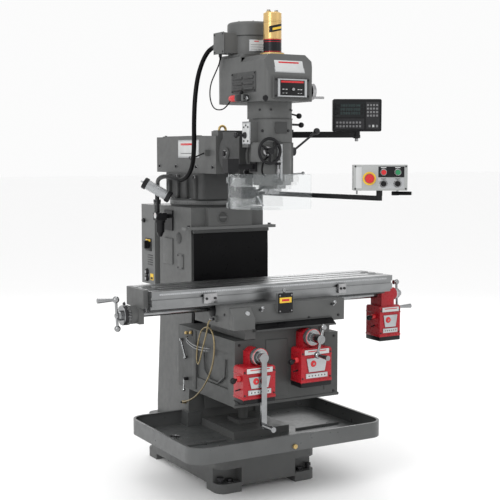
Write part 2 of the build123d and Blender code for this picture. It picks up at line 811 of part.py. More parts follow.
def make_speed_handwheel():
    x = belt_half
    wheel = rod((x + body_gap, wheel_y, wheel_z), (x + 18, wheel_y, wheel_z), 38)
    wheel += rod((x - 5, wheel_y, wheel_z), (x + 4, wheel_y, wheel_z), 7)
    wheel += rod((x + 14, wheel_y, wheel_z), (x + 32, wheel_y, wheel_z), 11)
    grip = (x + 18, wheel_y - 12, wheel_z - 26)
    return wheel + rod(grip, (x + 72, wheel_y - 12, wheel_z - 26), 6)


def make_guard_rod():
    x, y = guard_post
    post = rod((x, y, guard_bottom - 4), (x, y, 1528), 9)
    clamp = block((x - 26, x + 30), (y - 24, y + 26), (guard_top + 4, 1528))
    arm = block((x + 20, -housing_radius), (y + 2, y + 26), (1480, 1504))
    arm += block((-housing_radius - 8, -housing_radius), (y - 10, y + 40), (1470, 1514))
    return post + clamp + arm


def guard_outline(inset):
    """The shield's plan: a straight side, a wide bend and the long front."""
    x, y = guard_post
    left = x - 20 + inset
    front = y - 220 + inset
    start = (left, y - 12)
    side = Line(start, (left, front + 120 - inset))
    bend = RadiusArc(side @ 1, (left + 120 - inset, front), -(120 - inset))
    return Curve() + [side, bend, Line(bend @ 1, (66, front))]


def make_guard_shield():
    wire = guard_outline(0)
    inner = guard_outline(guard_sheet)
    ends = [Line(wire @ 1, inner @ 1), Line(inner @ 0, wire @ 0)]
    sheet = extrude(make_face(wire.edges() + inner.edges() + ends), guard_top - guard_bottom)
    sheet = Pos(0, 0, guard_bottom) * sheet
    x, y = guard_post
    for z in (guard_bottom + 2, guard_top - 40):
        lug = block((x - 20, x), (y - 40, y), (z, z + 24)) + rod((x, y, z), (x, y, z + 24), 16)
        sheet += lug - rod((x, y, z), (x, y, z + 24), 9 + running_gap)
    return sheet


# Knee, saddle and table

def make_knee():
    rear = -slide_gap
    body = block((-knee_half, knee_half), (knee_front, rear), (knee_bottom, knee_shelf))
    body += block((-knee_way_half, knee_way_half), (knee_front, knee_way_rear),
                  (knee_shelf, knee_way_top))
    hook = knee_way_hook_height
    for side in (-1, 1):
        x = sorted((side * knee_way_half, side * (knee_way_half + knee_way_hook)))
        body += block(x, (knee_front, knee_way_rear), (knee_way_top - hook, knee_way_top))
    half = way_half + slide_gap
    flare = way_undercut
    body -= profile_z([(-half, 0), (-half - flare, -way_depth - slide_gap),
                       (half + flare, -way_depth - slide_gap), (half, 0)],
                      (knee_bottom, knee_way_top))
    body -= block((-knee_hollow_half, knee_hollow_half),
                  (screw_y - knee_hollow_depth / 2, screw_y + knee_hollow_depth / 2),
                  (knee_bottom, knee_hollow_roof))
    body -= block((-knee_half + 30, knee_half - 30), (knee_front + 30, screw_y - 120),
                  (knee_bottom + 30, knee_shelf - 40))
    for side in (-1, 1):
        x = sorted((side * knee_half, side * (knee_half - 8)))
        body -= block(x, (knee_front + 60, -190), (knee_bottom + 70, knee_shelf - 60))
    body -= rod((z_shaft_x, knee_front, z_shaft_height), (z_shaft_x, knee_front + 30, z_shaft_height),
                feed_shaft_radius + running_gap)
    body -= rod((-knee_half, knee_lock_y, knee_lock_z), (-knee_half + 24, knee_lock_y, knee_lock_z),
                7 + running_gap)
    return body


def make_elevating_screw():
    return rod((0, screw_y, 190), (0, screw_y, knee_hollow_roof), screw_radius)


def feed_unit(shaft_x, shaft_z, left, right, low, high):
    """A power feed on the knee's front: gear case round the shaft, motor case below."""
    front = knee_front - 100
    rear = knee_front
    body = block((left, right), (front, rear - 15), (low, high))
    body = soften(body, Axis.Y, 14)
    body += block((shaft_x - 36, shaft_x + 36), (rear - 60, rear), (high - 20, shaft_z + 20))
    body += rod((shaft_x, rear - 60, shaft_z), (shaft_x, rear, shaft_z), 36)
    return body - rod((shaft_x, front, shaft_z), (shaft_x, rear, shaft_z),
                      feed_shaft_radius + running_gap)


def crank_shaft(shaft_x, shaft_z, inner, front):
    """A shaft along Y with its graduated dial and hub."""
    rear = knee_front - 60 - body_gap
    shaft = rod((shaft_x, inner, shaft_z), (shaft_x, rear, shaft_z), feed_shaft_radius)
    shaft += rod((shaft_x, rear, shaft_z), (shaft_x, rear - 30, shaft_z), 34)
    return shaft + rod((shaft_x, rear - 30, shaft_z), (shaft_x, front, shaft_z), 20)


def make_knee_crank():
    front = knee_front - 122
    crank = crank_shaft(z_shaft_x, z_shaft_height, knee_front + 28, front)
    low = z_shaft_height - z_crank_length
    crank += block((z_shaft_x - 13, z_shaft_x + 13), (front, front + 12), (low, z_shaft_height))
    crank += rod((z_shaft_x, front, z_shaft_height), (z_shaft_x, front + 12, z_shaft_height), 22)
    crank += rod((z_shaft_x, front + 12, low), (z_shaft_x, front, low), 13)
    return crank + rod((z_shaft_x, front, low), (z_shaft_x, front - 78, low), 12)


def make_saddle_crank():
    front = knee_front - 152
    crank = crank_shaft(y_shaft_x, y_shaft_height, knee_front - 2, front)
    return crank + ball_crank((y_shaft_x, front + 8, y_shaft_height), (0, -1, 0), (0.28, 0, 0.96))


def ball_crank(hub, out, up):
    """A two-ball crank: an arm through the hub, a ball at each end and one grip."""
    hub = Vector(*hub)
    out = Vector(*out)
    up = Vector(*up)
    high = hub + up * crank_radius * 0.8
    low = hub - up * crank_radius + out * 6
    crank = rod(tuple(low), tuple(high), 6) + ball(tuple(high), 14) + ball(tuple(low), 15)
    grip_end = low + out * 84
    return crank + cone(tuple(low), tuple(grip_end), 6, 11)


def make_table_cranks():
    half = table_length / 2
    z = table_screw_z
    right = half + 106 + body_gap
    left = -half - 54 - body_gap
    screw = rod((left, table_y, z), (right, table_y, z), table_screw_radius)
    screw += rod((right, table_y, z), (right + 24, table_y, z), 24)
    screw += rod((left, table_y, z), (left - 32, table_y, z), dial_radius)
    screw += rod((left - 32, table_y, z), (left - 50, table_y, z), 22)
    screw += ball_crank((right + 17, table_y, z), (1, 0, 0), (0, 0, 1))
    return screw + ball_crank((left - 50, table_y, z), (-1, 0, 0), (0, 0, -1))


def make_knee_lock():
    x = -knee_half - body_gap
    y = knee_lock_y
    z = knee_lock_z
    hub = rod((x + 20, y, z), (x - 16, y, z), 7)
    return hub + rod((x - 9, y, z), (x - 9, y - 44, z - 78), 5) + ball((x - 9, y - 44, z - 78), 9)


def make_saddle():
    bottom = knee_way_top + slide_gap
    body = block((-saddle_half, saddle_half), (saddle_front, saddle_rear), (bottom, saddle_top))
    hook = knee_way_hook_height
    inner = knee_way_half + knee_way_hook + slide_gap
    outer = inner + saddle_lip
    for side in (-1, 1):
        x = sorted((side * inner, side * outer))
        body += block(x, (saddle_front, saddle_rear), (knee_shelf + 3, bottom))
        x = sorted((side * (knee_way_half + slide_gap), side * inner))
        body += block(x, (saddle_front, saddle_rear), (knee_shelf + 3, knee_way_top - hook - slide_gap))
    half = table_way_half + slide_gap
    flare = table_way_flare
    body -= profile_x([(table_y - half, saddle_top), (table_y + half, saddle_top),
                       (table_y + half + flare, saddle_top - table_way_depth - slide_gap),
                       (table_y - half - flare, saddle_top - table_way_depth - slide_gap)],
                      (-saddle_half, saddle_half))
    body -= rod((-saddle_half, table_y, table_screw_z), (saddle_half, table_y, table_screw_z),
                table_screw_radius + slide_gap)
    for x in table_lock_places:
        body -= rod((x, saddle_front, table_lock_z), (x, saddle_front + 30, table_lock_z),
                    6 + running_gap)
    x, y, z = cable_route[0]
    body += block((x + running_gap, -saddle_half), (y - 12, y + 12), (z - 12, z + 12))
    return body + block((-66, 6), (saddle_front - 22, saddle_front), (saddle_top - 40, saddle_top + 46))


def make_table_lock(x):
    y = saddle_front
    stem = rod((x, y + 26, table_lock_z), (x, y - 20, table_lock_z), 6)
    tip = (x - 12, y - 44, table_lock_z + 14)
    return stem + rod((x, y - 16, table_lock_z), tip, 4) + ball(tip, 9)


def make_front_way_cover():
    y = saddle_front - body_gap
    points = [(y, 812), (y, 784), (y - 26, 775), (y - 44, 800), (y - 40, 804), (y - 26, 781),
              (y - 4, 790), (y - 4, 812)]
    return profile_x(points, (-190, 230))


def make_table():
    half = table_length / 2
    front = table_y - table_width / 2
    rear = table_y + table_width / 2
    body = block((-half, half), (front, rear), (saddle_top + slide_gap, table_top))
    body -= block((-half, half), (front, front + 14), (saddle_top, saddle_top + 14))
    body -= block((-half, half), (rear - 14, rear), (saddle_top, saddle_top + 14))
    low = saddle_top - table_way_depth
    flare = table_way_flare
    body += profile_x([(table_y - table_way_half, saddle_top + slide_gap),
                       (table_y + table_way_half, saddle_top + slide_gap),
                       (table_y + table_way_half + flare, low),
                       (table_y - table_way_half - flare, low)], (-half, half))
    for row in (-1, 0, 1):
        y = table_y + row * slot_pitch
        body -= block((-half, half), (y - slot_width / 2, y + slot_width / 2),
                      (table_top - slot_neck, table_top))
        body -= block((-half, half), (y - slot_foot / 2, y + slot_foot / 2),
                      (table_top - slot_neck - slot_foot_height, table_top - slot_neck))
    body -= block((-half, half), (front, front + 9), (table_top - 38, table_top - 26))
    for side in (-1, 1):
        for row in (-0.5, 0.5):
            y = table_y + row * slot_pitch
            end = side * (half - 26)
            x = sorted((end, end - side * 46))
            body -= block(x, (y - 11, y + 11), (table_top - 10, table_top))
    return body


def make_table_bracket():
    half = table_length / 2
    low = table_screw_z - 38
    body = block((-half - 22, -half), (table_y - 88, table_y + 88), (saddle_top + 4, table_top + 4))
    body += block((-half - 22, -half), (table_y - 46, table_y + 46), (low, saddle_top + 6))
    body += rod((-half - 54, table_y, table_screw_z), (-half, table_y, table_screw_z), 40)
    return body - rod((-half - 54, table_y, table_screw_z), (-half, table_y, table_screw_z),
                      table_screw_radius + running_gap)


def make_table_feed():
    half = table_length / 2
    body = block((half - 18, half + 106), (table_y - 56, table_y + 56), (636, 806))
    body = soften(body, Axis.X, 14)
    body += block((half, half + 22), (table_y - 88, table_y + 88), (saddle_top + 4, table_top - 14))
    body += block((half, half + 76), (table_y - 44, table_y + 44), (800, saddle_top + 6))
    body += rod((half + 70, table_y, table_screw_z), (half + 106, table_y, table_screw_z), 30)
    return body - rod((half, table_y, table_screw_z), (half + 106, table_y, table_screw_z),
                      table_screw_radius + running_gap)


# Flexible lines held between two housings

def line_tube(points, diameter):
    """A tube along straight runs joined by arcs as large as the runs allow."""
    nodes = [Vector(*p) for p in points]
    radii = []
    for before, here, after in zip(nodes, nodes[1:], nodes[2:]):
        turn = math.radians((here - before).get_angle(after - here))
        shorter = min((here - before).length, (after - here).length)
        radii.append(0.45 * shorter / math.tan(turn / 2))
    path = FilletPolyline(*nodes, radius=radii)
    section = Plane(origin=path @ 0, z_dir=path % 0) * Circle(diameter / 2)
    return sweep(section, path=path)


def make_motor_conduit():
    return line_tube(conduit_route, conduit_diameter)


def make_lube_line():
    return line_tube(cable_route, cable_diameter)


def make_valve_cord():
    return line_tube(valve_route, valve_line_diameter)


parts = {
    "base": make_base(),
    "levelling_screws": make_levelling_screws(),
    "chip_pan": make_chip_pan(),
    "column": make_column(),
    "way_cover_bar": make_way_cover_bar(),
    "rear_way_cover": make_rear_way_cover(),
    "cabinet": make_cabinet(),
    "cabinet_door": make_cabinet_door(),
    "disconnect_knob": make_disconnect_knob(),
    "air_unit": make_air_unit(),
    "lamp": make_lamp(),
    "turret": make_turret(),
    "pendant_arm": make_pendant_arm(),
    "pendant_box": make_pendant_box(),
    "emergency_stop": push_button(*stop_place, 20, 6),
    "stop_button": push_button(*red_place, 11, 4),
    "start_button": push_button(*green_place, 11, 4),
    "coolant_selector": selector(*left_selector_place),
    "speed_selector": selector(*right_selector_place),
    "ram": make_ram(),
    "eye_bolt": make_eye_bolt(),
    "dro_arm": make_dro_arm(),
    "dro_display": make_dro_display(),
    "ram_adapter": make_ram_adapter(),
    "quill_housing": make_quill_housing(),
    "gear_housing": make_gear_housing(),
    "belt_housing": make_belt_housing(),
    "motor": make_motor(),
    "drawbar_unit": make_drawbar_unit(),
    "motor_pulley": make_motor_pulley(),
    "spindle_pulley": make_spindle_pulley(),
    "quill": make_quill(),
    "spindle": make_spindle(),
    "quill_lever": make_quill_lever(),
    "feed_handwheel": make_feed_handwheel(),
    "feed_selector": make_feed_selector(),
    "range_lever": side_lever(range_lever_z, 62, -10, 4),
    "brake_lever": side_lever(brake_lever_z, 74, -2, 5),
    "quill_lock": make_quill_lock(),
    "speed_handwheel": make_speed_handwheel(),
    "guard_rod": make_guard_rod(),
    "guard_shield": make_guard_shield(),
    "knee": make_knee(),
    "elevating_screw": make_elevating_screw(),
    "knee_power_feed": feed_unit(z_shaft_x, z_shaft_height, -286, -126, 477, 636),
    "saddle_power_feed": feed_unit(y_shaft_x, y_shaft_height, 9, 169, 517, 690),
    "knee_crank": make_knee_crank(),
    "saddle_crank": make_saddle_crank(),
    "knee_lock": make_knee_lock(),
    "saddle": make_saddle(),
    "left_table_lock": make_table_lock(table_lock_places[0]),
    "right_table_lock": make_table_lock(table_lock_places[1]),
    "front_way_cover": make_front_way_cover(),
    "table": make_table(),
    "table_bracket": make_table_bracket(),
    "table_power_feed": make_table_feed(),
    "table_cranks": make_table_cranks(),
    "motor_conduit": make_motor_conduit(),
    "lube_line": make_lube_line(),
    "valve_cord": make_valve_cord(),
}

os.makedirs("parts", exist_ok=True)
for name, solid in parts.items():
    export_step(solid, "parts/" + name + ".step")
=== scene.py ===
import itertools
import math

import bmesh
import bpy
from mathutils import Matrix, Vector


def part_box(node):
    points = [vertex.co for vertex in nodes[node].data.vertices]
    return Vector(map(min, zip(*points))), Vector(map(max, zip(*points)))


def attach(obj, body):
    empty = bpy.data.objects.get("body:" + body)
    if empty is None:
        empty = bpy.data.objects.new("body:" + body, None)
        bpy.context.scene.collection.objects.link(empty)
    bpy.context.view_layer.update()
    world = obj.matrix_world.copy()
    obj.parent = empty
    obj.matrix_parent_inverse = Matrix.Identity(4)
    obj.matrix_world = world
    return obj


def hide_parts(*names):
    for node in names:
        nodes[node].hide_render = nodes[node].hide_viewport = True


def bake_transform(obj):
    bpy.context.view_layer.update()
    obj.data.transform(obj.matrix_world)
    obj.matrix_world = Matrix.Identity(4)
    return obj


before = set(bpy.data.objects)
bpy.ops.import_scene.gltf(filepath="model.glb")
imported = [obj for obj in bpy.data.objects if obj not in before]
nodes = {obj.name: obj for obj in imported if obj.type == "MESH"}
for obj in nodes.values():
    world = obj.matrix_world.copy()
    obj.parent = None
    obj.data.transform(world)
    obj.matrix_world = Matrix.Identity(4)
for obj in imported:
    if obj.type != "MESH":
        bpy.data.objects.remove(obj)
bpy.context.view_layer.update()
print("frame loaded:", len(nodes), "nodes")

# Pieces are drawn in millimetres and brought to metres once, as they are finished.
toMetres = 0.001


finishLooks = {
    "casting": dict(color=(0.088, 0.090, 0.089), gloss=0.35, vary=0.10, clouds=5.0, rough=(0.40, 0.56),
                    grain=420.0, bump=0.30, depth=0.0006, edgeWearAndHighlight=0.55),
    # The darker casting paint on the next line is painted shade for the knee, which sits under the table.
    "castingInShade": dict(color=(0.062, 0.064, 0.063), gloss=0.3, vary=0.12, clouds=5.0, rough=(0.42, 0.58),
                       grain=420.0, bump=0.30, depth=0.0006, edgeWearAndHighlight=0.5),
    "castingDark": dict(color=(0.045, 0.046, 0.046), gloss=0.3, vary=0.12, clouds=6.0, rough=(0.42, 0.60),
                        grain=420.0, bump=0.30, depth=0.0006, edgeWearAndHighlight=0.4),
    "sheet": dict(color=(0.115, 0.118, 0.117), gloss=0.35, vary=0.06, clouds=3.0, rough=(0.36, 0.48),
                  grain=1100.0, bump=0.14, depth=0.0003, edgeWearAndHighlight=0.3),
    "pan": dict(color=(0.076, 0.079, 0.079), gloss=0.5, vary=0.16, clouds=4.0, rough=(0.26, 0.46),
                grain=700.0, bump=0.16, depth=0.0003, edgeWearAndHighlight=0.4),
    "ground": dict(color=(0.25, 0.255, 0.258), vary=0.16, clouds=9.0, rough=(0.24, 0.42), metal=1.0,
                   grain=900.0, bump=0.10, depth=0.0002, stretch=(0.06, 1, 1)),
    "steel": dict(color=(0.34, 0.34, 0.345), vary=0.14, clouds=14.0, rough=(0.20, 0.38), metal=1.0,
                  grain=900.0, bump=0.10, depth=0.0002, stretch=(1, 1, 0.08)),
    "darkSteel": dict(color=(0.035, 0.035, 0.037), vary=0.2, clouds=20.0, rough=(0.30, 0.5),
                      metal=0.8, grain=900.0, bump=0.12, depth=0.0002),
    "chrome": dict(color=(0.28, 0.285, 0.29), vary=0.10, clouds=24.0, rough=(0.10, 0.24), metal=1.0,
                   grain=600.0, bump=0.03, depth=0.0001),
    "rubber": dict(color=(0.003, 0.003, 0.0035), gloss=0.09, vary=0.25, clouds=9.0, rough=(0.26, 0.42),
                   grain=650.0, bump=0.16, depth=0.0004),
    "plastic": dict(color=(0.008, 0.008, 0.009), gloss=0.22, vary=0.2, clouds=16.0, rough=(0.26, 0.40),
                    grain=1500.0, bump=0.10, depth=0.0002),
    "redPaint": dict(color=(0.34, 0.009, 0.016), gloss=0.3, vary=0.12, clouds=10.0, rough=(0.22, 0.36),
                     grain=500.0, bump=0.10, depth=0.0004, coat=0.10, edgeWearAndHighlight=0.15),
    "redPlastic": dict(color=(0.50, 0.012, 0.016), vary=0.08, clouds=20.0, rough=(0.20, 0.34),
                       grain=900.0, bump=0.06, depth=0.0002),
    "greenPlastic": dict(color=(0.010, 0.20, 0.075), vary=0.08, clouds=20.0, rough=(0.20, 0.34),
                         grain=900.0, bump=0.06, depth=0.0002),
    "yellow": dict(color=(0.72, 0.46, 0.03), vary=0.08, clouds=20.0, rough=(0.30, 0.45),
                   grain=900.0, bump=0.06, depth=0.0002),
    "silver": dict(color=(0.42, 0.43, 0.44), vary=0.06, clouds=12.0, rough=(0.24, 0.38), metal=0.85,
                   grain=1200.0, bump=0.06, depth=0.0002, stretch=(0.1, 1, 1)),
    "label": dict(color=(0.50, 0.51, 0.51), vary=0.05, clouds=18.0, rough=(0.34, 0.46),
                  grain=1200.0, bump=0.05, depth=0.0001),
    "pale": dict(color=(0.33, 0.34, 0.335), vary=0.05, clouds=6.0, rough=(0.36, 0.50),
                 grain=800.0, bump=0.12, depth=0.0003, edgeWearAndHighlight=0.2),
    "gold": dict(color=(0.62, 0.42, 0.17), vary=0.08, clouds=9.0, rough=(0.22, 0.36), metal=0.75,
                 grain=900.0, bump=0.05, depth=0.0002, stretch=(1, 1, 0.1)),
    "brass": dict(color=(0.55, 0.40, 0.17), vary=0.2, clouds=30.0, rough=(0.26, 0.44), metal=0.9,
                  grain=900.0, bump=0.2, depth=0.0004),
    "brassLine": dict(color=(0.24, 0.19, 0.10), vary=0.35, clouds=90.0, rough=(0.3, 0.5), metal=0.5,
                      grain=1400.0, bump=0.5, depth=0.0006),
    "screen": dict(color=(0.004, 0.006, 0.007), gloss=0.3, vary=0.2, clouds=5.0, rough=(0.05, 0.12),
                   grain=700.0, bump=0.02, depth=0.0001),
    "digits": dict(color=(0.045, 0.085, 0.082), vary=0.1, clouds=30.0, rough=(0.2, 0.3),
                   grain=700.0, bump=0.02, depth=0.0001),
    "keys": dict(color=(0.17, 0.17, 0.175), vary=0.1, clouds=30.0, rough=(0.35, 0.5),
                 grain=900.0, bump=0.05, depth=0.0002),
}


def addNode(tree, kind, **inputs):
    made = tree.nodes.new(kind)
    for label, value in inputs.items():
        made.inputs[label].default_value = value
    return made


def noiseFrom(tree, vector, scale, detail):
    cloud = addNode(tree, "ShaderNodeTexNoise", Scale=scale, Detail=detail, Roughness=0.55)
    tree.links.new(vector, cloud.inputs["Vector"])
    return cloud.outputs["Fac"]


def mapTo(tree, value, fromLow, fromHigh, toLow, toHigh):
    ranged = tree.nodes.new("ShaderNodeMapRange")
    ranged.inputs["From Min"].default_value = fromLow
    ranged.inputs["From Max"].default_value = fromHigh
    ranged.inputs["To Min"].default_value = toLow
    ranged.inputs["To Max"].default_value = toHigh
    tree.links.new(value, ranged.inputs["Value"])
    return ranged.outputs["Result"]


def mixColors(tree, factor, first, second):
    mix = tree.nodes.new("ShaderNodeMix")
    mix.data_type = "RGBA"
    tree.links.new(factor, mix.inputs["Factor"])
    for socket, value in ((mix.inputs["A"], first), (mix.inputs["B"], second)):
        if isinstance(value, tuple):
            socket.default_value = (*value, 1)
        else:
            tree.links.new(value, socket)
    return mix.outputs["Result"]


def multiplied(tree, first, second):
    product = tree.nodes.new("ShaderNodeMath")
    product.operation = "MULTIPLY"
    tree.links.new(first, product.inputs[0])
    tree.links.new(second, product.inputs[1])
    return product.outputs["Value"]


def makeFinish(name, look):
    material = bpy.data.materials.new(name)
    material.use_nodes = True
    tree = material.node_tree
    shader = tree.nodes["Principled BSDF"]
    shader.inputs["Metallic"].default_value = look.get("metal", 0.0)
    shader.inputs["Coat Weight"].default_value = look.get("coat", 0.0)
    shader.inputs["Coat Roughness"].default_value = 0.12
    shader.inputs["Specular IOR Level"].default_value = look.get("gloss", 0.5)
    coords = tree.nodes.new("ShaderNodeTexCoord").outputs["Object"]
    mapping = addNode(tree, "ShaderNodeMapping", Scale=look.get("stretch", (1, 1, 1)))
    tree.links.new(coords, mapping.inputs["Vector"])
    placed = mapping.outputs["Vector"]

    clouds = noiseFrom(tree, coords, look["clouds"], 5.0)
    low = tuple(c * (1 - look["vary"]) for c in look["color"])
    high = tuple(min(1.0, c * (1 + look["vary"])) for c in look["color"])
    color = mixColors(tree, mapTo(tree, clouds, 0.3, 0.7, 0.0, 1.0), low, high)

    grain = noiseFrom(tree, placed, look["grain"], 3.0)
    smudge = noiseFrom(tree, placed, look["clouds"] * 7, 4.0)
    roughness = mapTo(tree, smudge, 0.3, 0.7, *look["rough"])
    rounded = None
    if look.get("edgeWearAndHighlight"):
        # Paint is thinner and rubbed a little lighter along the edges; the same lightening also paints a
        # highlight along every edge.
        rounded = addNode(tree, "ShaderNodeBevel", Radius=0.0016)
        rounded.samples = 4
        facing = tree.nodes.new("ShaderNodeNewGeometry").outputs["Normal"]
        dot = tree.nodes.new("ShaderNodeVectorMath")
        dot.operation = "DOT_PRODUCT"
        tree.links.new(rounded.outputs["Normal"], dot.inputs[0])
        tree.links.new(facing, dot.inputs[1])
        edge = mapTo(tree, dot.outputs["Value"], 0.86, 0.995, look["edgeWearAndHighlight"], 0.0)
        edgeWearAndHighlightMask = multiplied(tree, edge, mapTo(tree, smudge, 0.35, 0.6, 0.2, 1.0))
        lighter = tuple(min(1.0, c * 1.9 + 0.03) for c in look["color"])
        color = mixColors(tree, edgeWearAndHighlightMask, color, lighter)
    tree.links.new(color, shader.inputs["Base Color"])
    tree.links.new(roughness, shader.inputs["Roughness"])
    bump = addNode(tree, "ShaderNodeBump", Strength=look["bump"], Distance=look["depth"])
    tree.links.new(grain, bump.inputs["Height"])
    if rounded:
        tree.links.new(rounded.outputs["Normal"], bump.inputs["Normal"])
    tree.links.new(bump.outputs["Normal"], shader.inputs["Normal"])
    return material


finish = {name: makeFinish(name, look) for name, look in finishLooks.items()}


# Bands across one axis, each as (start, end, colour) in metres.
def bandedFinish(name, base, axis, bands):
    material = makeFinish(name, finishLooks[base])
    tree = material.node_tree
    shader = tree.nodes["Principled BSDF"]
    coords = tree.nodes.new("ShaderNodeTexCoord").outputs["Object"]
    split = tree.nodes.new("ShaderNodeSeparateXYZ")
    tree.links.new(coords, split.inputs["Vector"])
    color = shader.inputs["Base Color"].links[0].from_socket
    for start, end, tint in bands:
        inside = tree.nodes.new("ShaderNodeMath")
        inside.operation = "COMPARE"
        tree.links.new(split.outputs[axis], inside.inputs[0])
        inside.inputs[1].default_value = (start + end) / 2
        inside.inputs[2].default_value = (end - start) / 2
        color = mixColors(tree, inside.outputs["Value"], color, tint)
    tree.links.new(color, shader.inputs["Base Color"])
    return material


def clearFinish():
    material = makeFinish("clearShield", dict(color=(0.82, 0.88, 0.89), vary=0.02, clouds=4.0,
                          rough=(0.03, 0.09), grain=200.0, bump=0.02, depth=0.0002))
    shader = material.node_tree.nodes["Principled BSDF"]
    shader.inputs["Transmission Weight"].default_value = 0.85
    shader.inputs["IOR"].default_value = 1.25
    shader.inputs["Alpha"].default_value = 0.24
    return material


finish["clear"] = clearFinish()
finish["drawbarTube"] = bandedFinish("drawbarTube", "gold", "Z", [
    (1.985, 2.060, (0.018, 0.018, 0.020)), (1.990, 1.994, (0.45, 0.02, 0.03)),
    (2.003, 2.005, (0.45, 0.02, 0.03)), (2.046, 2.048, (0.45, 0.02, 0.03)),
    (2.055, 2.059, (0.45, 0.02, 0.03)), (2.132, 2.134, (0.30, 0.20, 0.08))])

nodeFinish = {
    "base": "casting", "levelling_screws": "darkSteel", "chip_pan": "pan", "column": "casting",
    "way_cover_bar": "sheet", "rear_way_cover": "rubber", "cabinet": "sheet",
    "cabinet_door": "sheet", "disconnect_knob": "plastic", "air_unit": "plastic", "lamp": "silver",
    # The turret takes the dark casting paint as painted shade, for the shadow it sits in under the ram.
    "turret": "castingDark", "pendant_arm": "plastic", "pendant_box": "pale",
    "emergency_stop": "redPlastic", "stop_button": "redPlastic", "start_button": "greenPlastic",
    "coolant_selector": "plastic", "speed_selector": "plastic", "ram": "casting",
    "eye_bolt": "brass", "dro_arm": "plastic", "dro_display": "plastic", "ram_adapter": "castingDark",
    "quill_housing": "casting", "gear_housing": "casting", "belt_housing": "casting",
    "motor": "casting", "drawbar_unit": "drawbarTube", "motor_pulley": "steel",
    "spindle_pulley": "steel", "quill": "steel", "spindle": "steel", "quill_lever": "darkSteel",
    "feed_handwheel": "plastic", "feed_selector": "darkSteel", "range_lever": "plastic",
    "brake_lever": "plastic", "quill_lock": "chrome", "speed_handwheel": "steel",
    # The knee and its fittings take the darker casting paint as painted shade.
    "guard_rod": "plastic", "guard_shield": "clear", "knee": "castingInShade", "elevating_screw": "steel",
    "knee_power_feed": "redPaint", "saddle_power_feed": "redPaint", "knee_crank": "chrome",
    "saddle_crank": "chrome", "knee_lock": "chrome", "saddle": "casting",
    "left_table_lock": "chrome", "right_table_lock": "chrome", "front_way_cover": "rubber",
    "table": "ground", "table_bracket": "casting", "table_power_feed": "redPaint",
    "table_cranks": "chrome", "motor_conduit": "rubber", "lube_line": "brass",
    "valve_cord": "rubber",
}
for name, cadNode in nodes.items():
    cadNode.data.materials.clear()
    cadNode.data.materials.append(finish[nodeFinish[name]])
print("finishes made:", len(finish))


def bevelled(bm, width, steps):
    if width:
        sharp = [e for e in bm.edges if len(e.link_faces) == 2 and e.calc_face_angle(0) > 0.6]
        bmesh.ops.bevel(bm, geom=sharp, offset=width, affect="EDGES", segments=steps,
                        profile=0.5, material=-1, clamp_overlap=True)
    return bm


def slab(low, high, bevel=1.0, steps=2):
    bm = bmesh.new()
    bmesh.ops.create_cube(bm, size=1.0)
    size = [b - a for a, b in zip(low, high)]
    bmesh.ops.scale(bm, vec=size, verts=bm.verts)
    bmesh.ops.translate(bm, vec=[(a + b) / 2 for a, b in zip(low, high)], verts=bm.verts)
    return bevelled(bm, bevel, steps)


# A round bar or cone from one point to another.
def bar(start, end, radius, endRadius=None, sides=32, bevel=0.0, steps=2):
    start, end = Vector(start), Vector(end)
    run = end - start
    bm = bmesh.new()
    bmesh.ops.create_cone(bm, cap_ends=True, segments=sides, radius1=radius,
                          radius2=radius if endRadius is None else endRadius, depth=run.length)
    turn = run.to_track_quat("Z", "Y").to_matrix().to_4x4()
    bmesh.ops.transform(bm, matrix=Matrix.Translation((start + end) / 2) @ turn, verts=bm.verts)
    return bevelled(bm, bevel, steps)


# An outline of (radius, height) points spun about an axis through centre.
def spun(outline, centre, axis, sides=48):
    bm = bmesh.new()
    line = [bm.verts.new((r, 0, h)) for r, h in outline]
    edges = [bm.edges.new(pair) for pair in zip(line, line[1:])]
    bmesh.ops.spin(bm, geom=line + edges, cent=(0, 0, 0), axis=(0, 0, 1), angle=math.tau,
                   steps=sides, use_merge=True)
    bmesh.ops.remove_doubles(bm, verts=bm.verts, dist=0.01)
    bmesh.ops.recalc_face_normals(bm, faces=bm.faces)
    turn = Vector(axis).to_track_quat("Z", "Y").to_matrix().to_4x4()
    bmesh.ops.transform(bm, matrix=Matrix.Translation(centre) @ turn, verts=bm.verts)
    return bm


# A round ring.
def hoop(centre, axis, radius, thickness, sides=48, around=10):
    outline = [(radius + thickness * math.cos(k * math.tau / around),
                thickness * math.sin(k * math.tau / around)) for k in range(around + 1)]
    return spun(outline, centre, axis, sides)


# A thin plate wrapped on an upright cylinder, between two angles from -Y towards +X.
def curvedPlate(centre, radius, thickness, angles, heights, steps=14):
    bm = bmesh.new()
    first = math.radians(angles[0])
    corner = [(radius, heights[0]), (radius, heights[1]),
              (radius + thickness, heights[1]), (radius + thickness, heights[0])]
    line = [bm.verts.new((r * math.sin(first), -r * math.cos(first), h)) for r, h in corner]
    face = bm.faces.new(line)
    bmesh.ops.spin(bm, geom=[face], cent=(0, 0, 0), axis=(0, 0, 1),
                   angle=math.radians(angles[1] - angles[0]), steps=steps)
    bmesh.ops.recalc_face_normals(bm, faces=bm.faces)
    bmesh.ops.translate(bm, vec=centre, verts=bm.verts)
    return bm


def turned(bm, degrees, axis, centre):
    bmesh.ops.rotate(bm, cent=centre, matrix=Matrix.Rotation(math.radians(degrees), 3, axis),
                     verts=bm.verts)
    return bm


def screwHead(place, outward, radius=4.0, height=2.5):
    place, outward = Vector(place), Vector(outward)
    return spun([(0, height), (radius * 0.45, height), (radius * 0.5, height * 0.35),
                 (radius * 0.55, height), (radius * 0.9, height), (radius, height * 0.7),
                 (radius, -1.0), (0, -1.0)], place, outward, 14)


def hexBolt(place, outward, radius=9.0, height=7.0):
    place, outward = Vector(place), Vector(outward)
    washer = bar(place, place + outward * 2.0, radius * 1.35, sides=24, bevel=0.5, steps=1)
    head = bar(place + outward * 2.0, place + outward * (2.0 + height), radius, sides=6,
               bevel=0.8, steps=2)
    return [(washer, "steel"), (head, "darkSteel")]


